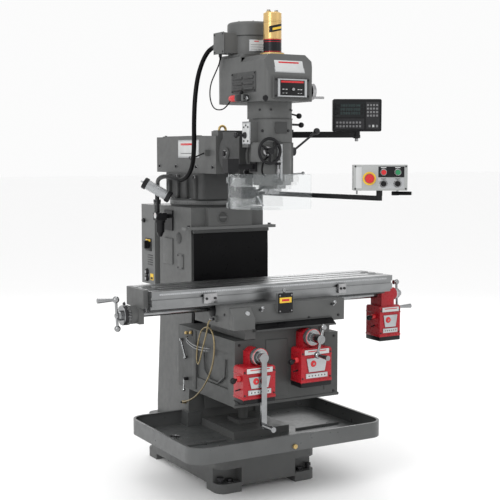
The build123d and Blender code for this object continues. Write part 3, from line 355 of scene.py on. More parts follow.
# A smooth tube along control points given in millimetres, as a mesh.
def lineTube(name, points, diameter, resolution=10):
    curve = bpy.data.curves.new(name, "CURVE")
    curve.dimensions = "3D"
    curve.bevel_depth = diameter / 2 * toMetres
    curve.bevel_resolution = 3
    curve.use_fill_caps = True
    spline = curve.splines.new("NURBS")
    spline.points.add(len(points) - 1)
    for point, place in zip(spline.points, points):
        point.co = (*[c * toMetres for c in place], 1)
    spline.order_u = 3
    spline.use_endpoint_u = True
    spline.resolution_u = resolution
    holder = bpy.data.objects.new(name + "Line", curve)
    bpy.context.scene.collection.objects.link(holder)
    bpy.context.view_layer.update()
    mesh = bpy.data.meshes.new_from_object(holder.evaluated_get(
        bpy.context.evaluated_depsgraph_get()))
    bpy.data.objects.remove(holder)
    mesh.name = name
    for polygon in mesh.polygons:
        polygon.use_smooth = True
    return mesh


def showMesh(name, mesh, finishes):
    for used in finishes:
        mesh.materials.append(finish[used])
    made = bpy.data.objects.new(name, mesh)
    bpy.context.scene.collection.objects.link(made)
    return made


# One object from several (bmesh, finish) shapes, drawn in millimetres.
def piece(name, body, shapes, stands=(), riding=True):
    whole = bmesh.new()
    used = []
    for shape, look in shapes:
        if look not in used:
            used.append(look)
        for face in shape.faces:
            face.material_index = used.index(look)
            face.smooth = True
        part = bpy.data.meshes.new("part")
        shape.to_mesh(part)
        shape.free()
        whole.from_mesh(part)
        bpy.data.meshes.remove(part)
    for edge in whole.edges:
        if len(edge.link_faces) == 2 and edge.calc_face_angle(0) > 0.7:
            edge.smooth = False
    bmesh.ops.scale(whole, vec=(toMetres,) * 3, verts=whole.verts)
    mesh = bpy.data.meshes.new(name)
    whole.to_mesh(mesh)
    whole.free()
    made = showMesh(name, mesh, used)
    if riding:
        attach(made, body)
    if stands:
        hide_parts(*stands)
    return made


# Shapes of one finish join a piece's list.
def add(shapes, look, *made):
    shapes += [(shape, look) for shape in made]


# Screw heads at every crossing of the given x, y and z values.
def screwRows(shapes, look, xs, ys, zs, outward, radius=4.0, height=2.5):
    for place in itertools.product(xs, ys, zs):
        add(shapes, look, screwHead(place, outward, radius, height))


toFront, toLeft, toRight, upward = (0, -1, 0), (-1, 0, 0), (1, 0, 0), (0, 0, 1)


# Belt housing: control panel, badge, louvres and the small air valve on its left.
beltPanel = dict(front=-582.0, half=90.0, low=1792.0, high=1880.0, marks=(-46, -30, 32, 46))
lidBadge = dict(middle=(0, -557.5, 1931), half=78.0, low=1900.0, high=1962.0, tilt=18.1)
louvre = dict(face=-122.0, front=-481.0, rear=-265.0, low=1822.0, high=1912.0, rows=3, pitch=25.0)
airValve = dict(x=-140.0, height=1798.0, barrel=(-290, -343), plug=(-120, -560, 1791))


def controlPanelDetail():
    p = beltPanel
    f, low, high, half = p["front"], p["low"], p["high"], p["half"]
    shapes = []
    add(shapes, "castingDark", slab((-half, f - 3, low), (half, f, high), 1.5))
    for x in (21 - half, half - 21):
        add(shapes, "silver", slab((x - 6, f - 7, low + 5), (x + 6, f - 3, high - 5), 1.2))
    for z in (low + 8, high - 8):
        add(shapes, "silver", slab((-half + 18, f - 6, z - 3), (half - 18, f - 3, z + 3), 1.0))
    screwRows(shapes, "plastic", (7 - half, half - 7), (f - 3,), (low + 9, high - 9), toFront, 4.5)
    add(shapes, "plastic", slab((-60, f - 5, low + 12), (60, f - 3, high - 12), 0.6))
    add(shapes, "redPlastic", slab((-58, f - 5.6, high - 22), (58, f - 5, high - 14), 0.2))
    knob = [(0, 9), (6, 9), (8, 6), (8, 0), (0, 0)]
    add(shapes, "chrome", spun(knob, (2, f - 5, low + 38), toFront))
    for x in p["marks"]:
        add(shapes, "label", slab((x - 5, f - 5.6, low + 36), (x + 5, f - 5, low + 39), 0.2),
            slab((x - 4, f - 5.6, low + 20), (x + 4, f - 5, low + 22), 0.2))
    piece("belt_control_panel", "head", shapes)


def lidBadgeDetail():
    b = lidBadge
    y, half, low, high = b["middle"][1], b["half"], b["low"], b["high"]
    shapes = []
    add(shapes, "silver", slab((-half, y - 2, low), (half, y + 0.5, high), 2.0))
    add(shapes, "label", slab((5 - half, y - 3, low + 5), (half - 5, y - 2, high - 5), 1.0))
    add(shapes, "redPlastic", slab((-52, y - 3.7, high - 18), (52, y - 3, high - 11), 0.3))
    for shape, look in shapes:
        turned(shape, -b["tilt"], "X", b["middle"])
    piece("lid_badge", "head", shapes)


def louvreDetail():
    v = louvre
    x = v["face"]
    wide = (v["rear"] - v["front"] - 46) / 2
    shapes = []
    add(shapes, "castingDark", slab((x - 3, v["front"], v["low"]), (x, v["rear"], v["high"]), 1.2))
    for column, row in itertools.product(range(2), range(v["rows"])):
        y = v["front"] + 16 + column * (wide + 14)
        z = v["low"] + 16 + row * v["pitch"]
        blade = spun([(0, -wide / 2), (7, -wide / 2), (7, wide / 2), (0, wide / 2)],
                     (x - 2.5, y + wide / 2, z), (0, 1, 0), 16)
        bmesh.ops.scale(blade, vec=(0.9, 1, 1.0), verts=blade.verts,
                        space=Matrix.Translation((-x, 0, 0)))
        add(shapes, "castingDark", blade)
        # A black strip under each blade is painted shade in the louvre's gap.
        add(shapes, "plastic", slab((x - 3.6, y + 3, z - 9), (x - 2.8, y + wide - 3, z - 5), 0.2))
    screwRows(shapes, "plastic", (x - 3,), (v["front"] + 7, v["rear"] - 7),
              (v["low"] + 7, v["high"] - 7), toLeft)
    piece("louvre_panel", "head", shapes)


def airValveDetail():
    x, z = airValve["x"], airValve["height"]
    rear, neck = airValve["barrel"]
    shapes = []
    add(shapes, "redPlastic", bar((x, rear, z), (x, neck, z), 15.5, sides=12, bevel=1.5))
    add(shapes, "brass", bar((x, neck, z), (x, neck - 9, z), 13.5, sides=24, bevel=1))
    add(shapes, "plastic", slab((x - 15.5, neck - 63, z - 16), (x + 16, neck - 9, z + 16), 3),
        bar((x - 6, neck - 63, z + 2), (x - 6, neck - 103, z + 2), 9, sides=6, bevel=1),
        bar((x, neck - 37, z + 14), (x, neck - 37, z + 32), 8, sides=6, bevel=1))
    add(shapes, "chrome", bar((x - 6, neck - 97, z + 2), (x - 6, neck - 109, z - 12), 7, sides=20))
    plug = [(0, 6), (9, 6), (13, 2), (13, 0), (0, 0)]
    add(shapes, "plastic", spun(plug, airValve["plug"], (-0.5, -1, 0)))
    piece("air_valve", "head", shapes)


# Motor: the junction box's glands and lid, then the seam, nameplate and top cap.
junctionBox = dict(x=-150.0, cordY=-205.0, conduitZ=2040.0, lid=-170.0)
motorPlate = dict(axis=(0, -225, 0), radius=105.4, top=2150.0, lines=(2022, 2032, 2042))


def junctionBoxDetail():
    x, y, z, lid = (junctionBox[k] for k in ("x", "cordY", "conduitZ", "lid"))
    shapes = []
    add(shapes, "plastic", bar((x, y, z - 34), (x, y, z - 48), 8, sides=6, bevel=1))
    add(shapes, "rubber", bar((x, y, z - 48), (x, y, z - 64), 5.5, 3.6, sides=20))
    add(shapes, "darkSteel", bar((x, -180, z), (x, -158, z), 17, sides=6, bevel=1.5))
    add(shapes, "rubber", bar((x, -158, z), (x, -144, z + 0.5), 14, 12.5, sides=24))
    add(shapes, "casting", slab((lid, -275, 2002), (lid + 3, -175, 2100), 1.5))
    screwRows(shapes, "darkSteel", (lid,), (-266, -184), (2011, 2091), toLeft)
    piece("junction_box_fittings", "head", shapes)


def motorDetail():
    m = motorPlate
    axis, r, top = m["axis"], m["radius"], m["top"]
    shapes = []
    add(shapes, "castingDark", hoop((0, axis[1], top - 64), upward, r + 2.1, 2.4, 72))
    add(shapes, "silver", curvedPlate(axis, r, 1.2, (-34, 6), (2014, 2066)))
    add(shapes, "label", curvedPlate(axis, r + 1.2, 0.5, (-32, 4), (2017, 2063)))
    add(shapes, "redPlastic", curvedPlate(axis, r + 1.7, 0.3, (-22, -10), (2056, 2060)))
    for z in m["lines"]:
        add(shapes, "castingDark", curvedPlate(axis, r + 1.7, 0.3, (-30, 2), (z, z + 1.5)))
    cap = [(0, 6), (20, 6), (26, 2), (70, 1), (96, -3)]
    add(shapes, "castingDark", spun(cap, (0, axis[1], top), upward, 64))
    # The vents are black strips: painted shade standing in for the open slots.
    for angle in range(0, 360, 45):
        vent = slab((-3, -91, top - 1), (3, -52, top + 2.5), 1.0)
        turned(vent, angle + 22, "Z", (0, 0, 0))
        bmesh.ops.translate(vent, vec=axis, verts=vent.verts)
        add(shapes, "plastic", vent)
    piece("motor_detail", "head", shapes)


# Power drawbar: collar, slanted sticker and the fittings on top.
drawbar = dict(axis=(0, -418, 0), foot=1985.0, top=2174.0, slant=0.22)


# A curved sticker that climbs as it goes round.
def slanted(plate):
    for vert in plate.verts:
        vert.co.z += vert.co.x * drawbar["slant"]
    return plate


def drawbarDetail():
    axis, top = drawbar["axis"], drawbar["top"]
    y = axis[1]
    collar = [(42, 0), (52, 0), (54, 2), (54, 12), (52, 14.5), (42, 14.5)]
    shapes = []
    add(shapes, "gold", spun(collar, (0, y, drawbar["foot"]), upward),
        hoop((0, y, 2060), upward, 41.4, 1.2))
    add(shapes, "brass", hoop((0, y, 2140), upward, 41.2, 1.0))
    add(shapes, "gold", spun([(0, 5), (30, 5), (38, 3), (40.8, 0), (40.8, -2)], (0, y, top), upward))
    add(shapes, "plastic", slanted(curvedPlate(axis, 41.2, 0.7, (-52, 46), (2093, 2122), 24)))
    add(shapes, "yellow", slanted(curvedPlate(axis, 41.9, 0.3, (-30, 40), (2101, 2111), 20)))
    for x in (-20, 20):
        add(shapes, "brass", bar((x, y, top + 2), (x, y, top + 10), 11, sides=6, bevel=1))
        add(shapes, "chrome", bar((x, y, top + 10), (x, y, top + 16), 8.3, sides=20, bevel=1))
    piece("drawbar_fittings", "head", shapes)


# Quill side of the head: depth stop and scale, boss face, selector plate, trim and hose.
quillAxis = (0, -418, 0)
depthStop = dict(x=-26.0, y=-510.0, low=1424.0, high=1600.0, rear=-496.0, threads=26, pitch=3.0)
bossPlate = dict(face=90.0, front=-446.0, rear=-396.0, low=1424.0, high=1596.0, glass=(93, -401, 1471))
selectorPlate = dict(face=-124.0, front=-438.0, rear=-366.0, low=1592.0, high=1690.0)
headHose = dict(width=8.0, points=[(-70, -500, 1535), (-92, -512, 1530), (-108, -512, 1500),
                                   (-106, -505, 1465), (-84, -498, 1450), (-78, -480, 1450)])


def depthStopDetail():
    q = depthStop
    x, y, low, high, rear = q["x"], q["y"], q["low"], q["high"], q["rear"]
    shapes = []
    add(shapes, "chrome", bar((x, y, low), (x, y, high), 5.2, sides=24))
    add(shapes, "castingDark", slab((x - 14, y - 9, low - 2), (x + 14, rear, low + 16), 2.5),
        slab((x - 13, y - 8, high - 8), (x + 13, rear, high + 6), 2.5))
    nut = [(5, 0), (13, 0), (14, 2), (14, 9), (13, 11), (5, 11)]
    lockNut = [(5, 0), (11, 0), (12, 2), (12, 6), (11, 8), (5, 8)]
    add(shapes, "plastic", spun(nut, (x, y, 1500), upward))
    add(shapes, "steel", spun(lockNut, (x, y, 1512), upward),
        slab((x - 7, y - 7, 1462), (x + 7, y + 9, 1482), 2.0))
    for k in range(q["threads"]):
        z = low + 20 + k * q["pitch"]
        add(shapes, "steel", hoop((x, y, z), upward, 5.2, 0.7, 20, 6))
    piece("depth_stop", "head", shapes)

    shapes = []
    add(shapes, "silver", slab((x + 14, -507.5, 1430), (x + 26, -500, 1592), 1.0))
    for k in range(30):
        z = 1436 + k * 5
        reach = 5 if k % 5 else 9
        add(shapes, "plastic", slab((x + 15, -508.2, z), (x + 15 + reach, -507.4, z + 0.9), 0.0))
    piece("depth_scale", "head", shapes)


def bossPlateDetail():
    b = bossPlate
    x, glass = b["face"], b["glass"]
    shapes = []
    add(shapes, "silver", slab((x, b["front"], b["low"]), (x + 3, b["rear"], b["high"]), 1.2))
    add(shapes, "brass", spun([(0, 5), (8, 5), (10, 3), (10, 0), (0, 0)], glass, toRight))
    add(shapes, "screen", spun([(0, 3), (5, 3), (5, 6), (0, 6)], glass, toRight))
    screwRows(shapes, "darkSteel", (x + 3,), (-440, -402), (b["low"] + 8, b["high"] - 8), toRight)
    piece("boss_plate", "head", shapes)


def selectorDetail():
    s = selectorPlate
    x = s["face"]
    shapes = []
    add(shapes, "silver", slab((x - 3, s["front"], s["low"]), (x, s["rear"], s["high"]), 1.2))
    add(shapes, "label", slab((x - 4, s["front"] + 6, s["low"] + 6),
                              (x - 3, s["rear"] - 6, s["high"] - 6), 0.4))
    for y, z in ((-420, 1668), (-384, 1668), (-402, 1676), (-420, 1606), (-384, 1606)):
        add(shapes, "plastic", spun([(0, 2), (4, 2), (5, 0)], (x - 4, y, z), toLeft, 18))
    hub = [(0, 10), (9, 10), (14, 6), (15, 0), (0, 0)]
    add(shapes, "darkSteel", spun(hub, (x - 4, -395, 1632), toLeft))
    piece("selector_plate", "head", shapes)


# Screws spread round the head's front.
def headScrews(shapes, radius, height, angles, size, proud):
    for angle in angles:
        outward = Vector((math.sin(math.radians(angle)), -math.cos(math.radians(angle)), 0))
        place = Vector(quillAxis) + outward * radius + Vector((0, 0, height))
        add(shapes, "darkSteel", screwHead(place, outward, size, proud))


def headTrimDetail():
    ring = [(7, 0), (20, 0), (22, 2), (22, 12), (18, 15), (7, 15)]
    flange = [(44, -2), (60, -2), (62, 0), (62, 6), (60, 8), (44, 8)]
    shapes = []
    add(shapes, "steel", spun(ring, (-80, -500, 1562), toFront))
    add(shapes, "darkSteel", spun(flange, (0, quillAxis[1], 1395), upward))
    add(shapes, "castingDark", curvedPlate(quillAxis, 87.5, 2.6, (-112, 112), (1598, 1602), 40),
        curvedPlate(quillAxis, 89.5, 2.8, (-112, 112), (1703, 1707), 40))
    add(shapes, "casting", curvedPlate(quillAxis, 83.0, 4.0, (-100, 100), (1409, 1415), 40))
    headScrews(shapes, 91, 1652, (-60, -20, 20, 60), 6.0, 5.0)
    headScrews(shapes, 88, 1745, (-70, -35, 35, 70), 5.0, 4.0)
    add(shapes, "castingDark", slab((-40, -511, 1640), (22, -506, 1690), 1.2))
    piece("head_trim", "head", shapes)


# A flexible line that moves with one body.
def ridingLine(name, points, width, look, body):
    made = showMesh(name, lineTube(name, points, width), [look])
    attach(made, body)


# Guard: the clamp blocks and silver handle on the nose.
guardClamp = dict(x=-142.0, post=-209.0, caps=(1330, 1440))


def guardDetail():
    x, post = guardClamp["x"], guardClamp["post"]
    shapes = []
    add(shapes, "plastic", slab((x - 30, -470, 1352), (x + 30, -440, 1404), 5))
    add(shapes, "darkSteel", bar((x + 2, -470, 1378), (x + 2, -486, 1378), 9, sides=24, bevel=1),
        bar((x + 24, -455, 1378), (x + 90, -440, 1402), 6, sides=20))
    add(shapes, "plastic", slab((post - 19, -446, 1356), (post + 19, -420, 1408), 4))
    add(shapes, "darkSteel", bar((post + 19, -434, 1382), (post + 39, -448, 1380), 6, sides=20))
    add(shapes, "chrome", bar((x + 30, -480, 1362), (x + 48, -498, 1318), 5.5, 4.5, sides=20, bevel=1))
    piece("guard_clamp", "head", shapes)

    shapes = []
    for z in guardClamp["caps"]:
        add(shapes, "plastic", bar((-222, -421, z), (-216, -421, z), 11, sides=20, bevel=1))
    piece("guard_hinge_caps", "guard", shapes)


controlPanelDetail()
lidBadgeDetail()
louvreDetail()
airValveDetail()
junctionBoxDetail()
motorDetail()
drawbarDetail()
depthStopDetail()
bossPlateDetail()
selectorDetail()
headTrimDetail()
ridingLine("head_hose", headHose["points"], headHose["width"], "rubber", "head")
guardDetail()
print("head detail made")


# Ram and turret: side badge, clamping bolts, rail cover and the swivel scale.
ramBadge = dict(face=-140.0, front=26.0, rear=254.0, low=1529.0, high=1617.0)
turretScale = dict(axis=(0, 195, 1290), ticks=60, step=3, radius=195.6,
                   bolts=(-58, -22, 22, 58, 122, 238))
adapterScale = dict(face=-347.0, pivot=1540.0, reach=40, step=5)


def ramBadgeDetail():
    b = ramBadge
    x, front, rear, low, high = b["face"], b["front"], b["rear"], b["low"], b["high"]
    shapes = []
    add(shapes, "silver", slab((x - 3, front, low), (x, rear, high), 1.5))
    add(shapes, "label", slab((x - 4, front + 7, low + 7), (x - 3, rear - 7, high - 7), 0.6))
    add(shapes, "redPlastic", slab((x - 4.6, front + 34, high - 27), (x - 4, rear - 34, high - 17), 0.2))
    add(shapes, "castingDark", slab((x - 4.6, front + 34, low + 20), (x - 4, rear - 34, low + 23), 0.2))
    piece("ram_badge", "ram_body", shapes)


def ramDetail():
    shapes = []
    add(shapes, "castingDark", slab((-128, -120, 1655.5), (128, -92, 1659), 1.5))
    add(shapes, "casting", slab((-120, 120, 1632.5), (120, 480, 1637), 3))
    add(shapes, "plastic", spun([(0, 5), (14, 5), (17, 2), (17, -1)], (0, 300, 1637), upward))
    add(shapes, "darkSteel", slab((-146, -70, 1543), (-140, -58, 1565), 1.5))
    screwRows(shapes, "darkSteel", (-108, 108), (136, 464), (1637,), upward, 6.0, 4.0)
    for y, side in itertools.product((-112, 60, 280, 470), (-1, 1)):
        shapes += hexBolt((side * 140, y, 1486), (side, 0, 0), 7.5, 6.0)
    shapes += hexBolt((0, 530, 1544), (0, 1, 0), 12.0, 8.0)
    piece("ram_fittings", "ram_body", shapes)

    shapes = []
    add(shapes, "darkSteel", hoop((-232, -70, 1527), (0.25, -0.7, 1.0), 13.0, 2.4, 36),
        bar((-164, -64, 1552), (-222, -68, 1530), 3.6, sides=16))
    piece("conduit_clip", "ram_body", shapes)


def turretDetail():
    t = turretScale
    axis = Vector(t["axis"])
    band = [(176, 6), (193, 6), (194.5, 8), (194.5, 34), (193, 36), (176, 36)]
    shapes = []
    # The turret band and clamp blocks take the dark casting paint, the same painted shade as the turret.
    add(shapes, "castingDark", spun(band, axis, upward, 96))
    add(shapes, "sheet", spun([(194.4, 12), (195.4, 13), (195.4, 30), (194.4, 31)], axis, upward, 96))
    for k in range(t["ticks"]):
        angle = -90 + k * t["step"]
        turn = math.radians(angle)
        tick = slab((-0.5, -0.5, 1304), (0.5, 0.5, 1312 if k % 5 else 1318), 0)
        turned(tick, angle, "Z", (0, 0, 0))
        place = (t["radius"] * math.sin(turn), axis.y - t["radius"] * math.cos(turn), 0)
        bmesh.ops.translate(tick, vec=place, verts=tick.verts)
        add(shapes, "plastic", tick)
    for angle in t["bolts"]:
        turn = math.radians(angle)
        place = (168 * math.sin(turn), axis.y - 168 * math.cos(turn), axis.z + 40)
        shapes += hexBolt(place, upward, 11.0, 10.0)
    for y in (35, 130, 225, 320):
        add(shapes, "castingDark", slab((-166, y - 9, 1331), (-150, y + 9, 1446), 5))
        shapes += hexBolt((-166, y, 1436), toLeft, 7.0, 6.0)
    for y in (60, 200, 340):
        shapes += hexBolt((152, y, 1436), toRight, 7.0, 6.0)
    piece("turret_fittings", "turret_body", shapes)


def adapterDetail():
    a = adapterScale
    y, pivot, reach = a["face"], a["pivot"], a["reach"]
    shapes = []
    for angle in range(-reach, reach + 1, a["step"]):
        top = pivot + (96 if angle % 20 else 101)
        tick = slab((-0.6, y, pivot + 90), (0.6, y + 2.4, top), 0)
        add(shapes, "plastic", turned(tick, angle, "Y", (0, 0, pivot)))
    for x, z in itertools.product((-96, 96), (1466, 1612)):
        shapes += hexBolt((x, y + 2, z), toFront, 10.0, 8.0)
    for side in (-1, 1):
        cap = [(0, 10), (24, 10), (28, 6), (28, -1)]
        add(shapes, "castingDark", spun(cap, (side * 130, -228, 1550), (side, 0, 0)))
        shapes += hexBolt((side * 140, -228, 1550), (side, 0, 0), 13.0, 9.0)
    piece("adapter_fittings", "adapter", shapes)


# Column: emblem and access covers, then the cabinet's latch, sockets and slots.
emblem = dict(centre=(-43, -30, 1243), radius=27.0)
cabinetSide = dict(face=-200.0, sockets=(928, 893), slots=5, slotPitch=12)
cabinetRear = dict(face=573.5, slots=9, slotPitch=12)


def columnDetail():
    x, y, z = emblem["centre"]
    shapes = []
    add(shapes, "casting", hoop((x, y - 0.5, z), toFront, emblem["radius"], 3.2))
    add(shapes, "castingDark", spun([(0, 2.5), (22, 2.5), (24, 0)], (x, y, z), toFront))
    add(shapes, "sheet", slab((x - 19, y - 3.6, z - 4), (x + 19, y - 2, z + 4), 1.0))
    piece("column_emblem", "frame", shapes)

    shapes = []
    cover = [(0, 5), (24, 5), (28, 2), (28, -3)]
    add(shapes, "castingDark", spun(cover, (-200, 133, 1137), toLeft))
    add(shapes, "casting", slab((-205, 82, 985), (-198, 142, 1060), 3),
        slab((-216, 40, 470), (-208, 130, 560), 3), slab((-207, 196, 1000), (-199, 300, 1130), 3))
    screwRows(shapes, "darkSteel", (-205,), (88, 136), (992, 1053), toLeft)
    for x, z in itertools.product((-150, 150), (360, 620, 980)):
        add(shapes, "castingDark", slab((x - 10, 388, z), (x + 10, 392.5, z + 40), 2))
    piece("column_covers", "frame", shapes)


def cabinetDetail():
    c = cabinetSide
    x = c["face"]
    shapes = []
    add(shapes, "plastic", slab((x - 3, 452, 1046), (x + 0.5, 528, 1112), 1.5))
    add(shapes, "yellow", slab((x - 4, 462, 1096), (x - 3, 518, 1106), 0.3),
        slab((x - 1.5, 432, 896), (x + 0.4, 470, 930), 0.6))
    add(shapes, "plastic", spun([(0, 8), (9, 8), (12, 4), (12, 0)], (x, 543, 1202), toLeft),
        slab((x - 14, 520, 1196), (x - 6, 548, 1208), 2),
        slab((x - 2, 438, 900), (x - 1.5, 464, 912), 0.1))
    socket = [(0, 12), (12, 12), (14, 9), (17, 3), (17, 0)]
    for z in c["sockets"]:
        add(shapes, "plastic", spun(socket, (x, 506, z + 8), toLeft))
        add(shapes, "silver", spun([(0, 13), (8, 13), (8, 12)], (x, 506, z + 8), toLeft))
    # The side vent slots are dark strips: painted shade standing in for the openings.
    for k in range(c["slots"]):
        z = 974 + k * c["slotPitch"]
        add(shapes, "castingDark", slab((x - 1.5, 440, z), (x + 0.6, 500, z + 5), 0.6))
    add(shapes, "darkSteel", bar((-150, 487, 1296), (-150, 487, 1312), 20, sides=6, bevel=1.5))
    piece("cabinet_fittings", "frame", shapes)

    y = cabinetRear["face"]
    shapes = []
    add(shapes, "plastic", slab((-150, y - 0.5, 1060), (-128, y + 5.5, 1150), 3))
    add(shapes, "chrome", bar((-139, y + 4.5, 1110), (-139, y + 16.5, 1110), 9, sides=24, bevel=1),
        slab((-143, y + 14.5, 1080), (-135, y + 20.5, 1114), 2))
    add(shapes, "label", slab((-60, y, 1180), (60, y + 2, 1250), 1.0))
    add(shapes, "redPlastic", slab((-54, y + 2, 1236), (54, y + 2.5, 1244), 0.1))
    # The door vent slots are dark strips: painted shade standing in for the openings.
    for k in range(cabinetRear["slots"]):
        z = 920 + k * cabinetRear["slotPitch"]
        add(shapes, "castingDark", slab((60, y, z), (160, y + 2.3, z + 6), 1.0))
    piece("door_fittings", "door", shapes)


# Work lamp: finned barrel, black end caps, lens and toggle.
lamp = dict(centre=(-288.0, 195.0, 1372.0), along=(0.75, -0.43, -0.5), back=(0.5, 0.866, 0),
            radius=24.0, fins=14, finPitch=8)


def lampDetail():
    centre = Vector(lamp["centre"])
    along = Vector(lamp["along"]).normalized()
    r = lamp["radius"]
    outline = [(0, -72)]
    for k in range(lamp["fins"]):
        h = -52 + k * lamp["finPitch"]
        outline += [(r - 2.0, h - 3.0), (r + 1.6, h - 2.0), (r + 1.6, h + 1.0), (r - 2.0, h + 2.0)]
    outline += [(0, 60)]
    shapes = []
    add(shapes, "silver", spun(outline, centre, along, 48))
    cap = [(0, 22), (r + 1, 22), (r + 5, 18), (r + 5, 2), (r + 3, 0), (0, 0)]
    for side in (-1, 1):
        add(shapes, "plastic", spun(cap, centre + along * side * 54, along * side, 48))
    lens = [(0, 0), (r - 3, 0), (r - 3, 0.8), (0, 0.8)]
    add(shapes, "label", spun(lens, centre + along * 76, along))
    add(shapes, "chrome", bar(centre - along * 74, centre - along * 90, 6, 4, sides=20, bevel=0.8))
    back = Vector(lamp["back"])
    out = (back - along * back.dot(along)).normalized()
    add(shapes, "plastic", bar(centre + out * (r - 4), centre + out * (r + 14), 11.5, sides=28, bevel=1))
    piece("work_lamp", "lamp_head", shapes, stands=("lamp",))


# Air unit: a small gauge with a red needle on its left.
airGauge = dict(y=196.0, height=1247.0)


def airDetail():
    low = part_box("air_unit")[0]
    x, y, z = low.x / toMetres, airGauge["y"], airGauge["height"]
    shapes = []
    add(shapes, "darkSteel", spun([(0, 9), (15, 9), (18, 6), (18, 0), (0, 0)], (x + 4, y, z), toLeft))
    add(shapes, "label", spun([(0, 9.6), (13, 9.6), (14, 9)], (x + 4, y, z), toLeft))
    add(shapes, "redPlastic", slab((x - 6, y - 1, z), (x - 5.2, y + 1, z + 10), 0))
    piece("air_gauge", "frame", shapes)


ramBadgeDetail()
ramDetail()
turretDetail()
adapterDetail()
columnDetail()
cabinetDetail()
lampDetail()
airDetail()
print("column, turret and ram detail made")


# Table: stop dogs, scale strip, dial rings and the bolts of its ends.
tableFront = dict(face=-487.0, dogs=((-392, -326), (314, 358)), low=902.0, high=946.0, tickPitch=10)
tableScrew = dict(y=-360.0, height=858.0, leftDial=-689.6, rightDial=741.6)


def tableDetail():
    t = tableFront
    y, low, high = t["face"], t["low"], t["high"]
    shapes = []
    for left, right in t["dogs"]:
        add(shapes, "steel", slab((left, y - 13, low), (right, y, high), 2.5))
        screwRows(shapes, "darkSteel", (left + 12, right - 12), (y - 13,), ((low + high) / 2,),
                  toFront, 6.0, 5.0)
    add(shapes, "silver", slab((-600, y - 1.5, 950), (600, y - 0.2, 958), 0.4))
    for k in range(-59, 60):
        x, top = k * t["tickPitch"], 954 if k % 5 else 957
        add(shapes, "plastic", slab((x - 0.4, y - 2, 950.5), (x + 0.4, y - 1.4, top), 0))
    for yy in (-470, -250):
        shapes += hexBolt((-657, yy, 890), toLeft, 8.0, 6.0)
    for yy in (-468, -252):
        shapes += hexBolt((657, yy, 930), toRight, 8.0, 6.0)
    piece("table_stops", "table_body", shapes)


# A ring about the table screw with its ticks and cap; side is -1 at the left end.
def tableDial(shapes, x, side, r, deep, look, ticks):
    y, z = tableScrew["y"], tableScrew["height"]
    ring = [(r - 4, 0), (r + 0.5, 0), (r + 1.2, 2), (r + 1.2, deep - 2), (r - 2, deep),
            (20, deep + 1), (14, deep + 1)]
    add(shapes, look, spun(ring, (x, y, z), (side, 0, 0), 64))
    for k in range(ticks):
        tick = slab((-12 if k % 5 else -16, r + 1.0, -0.5), (-2, r + 1.7, 0.5), 0)
        turned(tick, k * 360 / ticks, "X", (0, 0, 0))
        bmesh.ops.translate(tick, vec=(x, y, z), verts=tick.verts)
        add(shapes, "label", tick)
    cap = [(0, 10), (9, 10), (14, 6), (14, 0)]
    add(shapes, "chrome", spun(cap, (x + side * (deep + 20), y, z), (side, 0, 0), 24))


def tableDialDetail():
    shapes = []
    tableDial(shapes, tableScrew["leftDial"], -1, 42, 30, "darkSteel", 40)
    tableDial(shapes, tableScrew["rightDial"], 1, 26, 12, "silver", 0)
    piece("table_dials", "table_screw", shapes)


# Saddle: limit switch face, oiler box, side disc, gib screws.
def saddleDetail():
    shapes = [(slab((-68, -586, 846), (8, -581.5, 936), 2.5), "plastic"),
              (slab((-62, -587, 892), (0, -586, 916), 0.6), "yellow"),
              (slab((-50, -587.4, 899), (-12, -586.9, 909), 0.1), "redPlastic"),
              (bar((-30, -571, 934), (-30, -571, 948), 5, sides=16, bevel=0.8), "chrome"),
              (bar((-30, -574, 948), (-30, -568, 948), 8, sides=24), "chrome")]
    screwRows(shapes, "steel", (-60, 0), (-586,), (856, 926), toFront, 3.6)
    piece("travel_switch", "saddle_body", shapes)

    bm = bmesh.new()
    profile = [(-560, 790), (-606, 790), (-606, 838), (-566, 882), (-560, 882)]
    face = bm.faces.new([bm.verts.new((-303, y, z)) for y, z in profile])
    grown = bmesh.ops.extrude_face_region(bm, geom=[face])
    farSide = [g for g in grown["geom"] if isinstance(g, bmesh.types.BMVert)]
    bmesh.ops.translate(bm, vec=(105, 0, 0), verts=farSide)
    bmesh.ops.recalc_face_normals(bm, faces=bm.faces)
    shapes = [(bevelled(bm, 2.5, 2), "casting")]
    add(shapes, "silver", spun([(0, 3), (9, 3), (11, 0)], (-225, -587, 859), (0, -0.74, 0.67)))
    piece("oiler_box", "saddle_body", shapes)

    x, y, z = -316, -445, 823
    shapes = [(spun([(0, 4), (30, 4), (34, 2), (34, -1), (0, -1)], (-303, -405, 858), toLeft), "rubber"),
              (bar((x + 2, y, z), (x - 10, y, z), 7, sides=6, bevel=1), "plastic"),
              (bar((x - 10, y, z), (x - 20, y, z), 5.5, 4.4, sides=20), "chrome")]
    for yy in (-520, -300, -262):
        add(shapes, "darkSteel", screwHead((-303, yy, 850), toLeft, 6.0, 3.0))
        add(shapes, "darkSteel", screwHead((303, yy, 850), (1, 0, 0), 6.0, 4.0))
    screwRows(shapes, "darkSteel", (-270, 110, 270), (-560,), (812,), toFront, 6.0, 4.0)
    piece("saddle_fittings", "saddle_body", shapes)


# Knee: raised ribs, gib strip, small lever, oil pipes and the feed dials in front.
oilPipe = dict(width=5.0, points=[(-276, -112, 694), (-292, -116, 692), (-294, -150, 676),
                                  (-294, -220, 664),
                                  (-294, -290, 668), (-290, -316, 668), (-274, -322, 668)])
feedDials = dict(radius=36, centres=((-194, -600, 673), (80, -600, 735)))


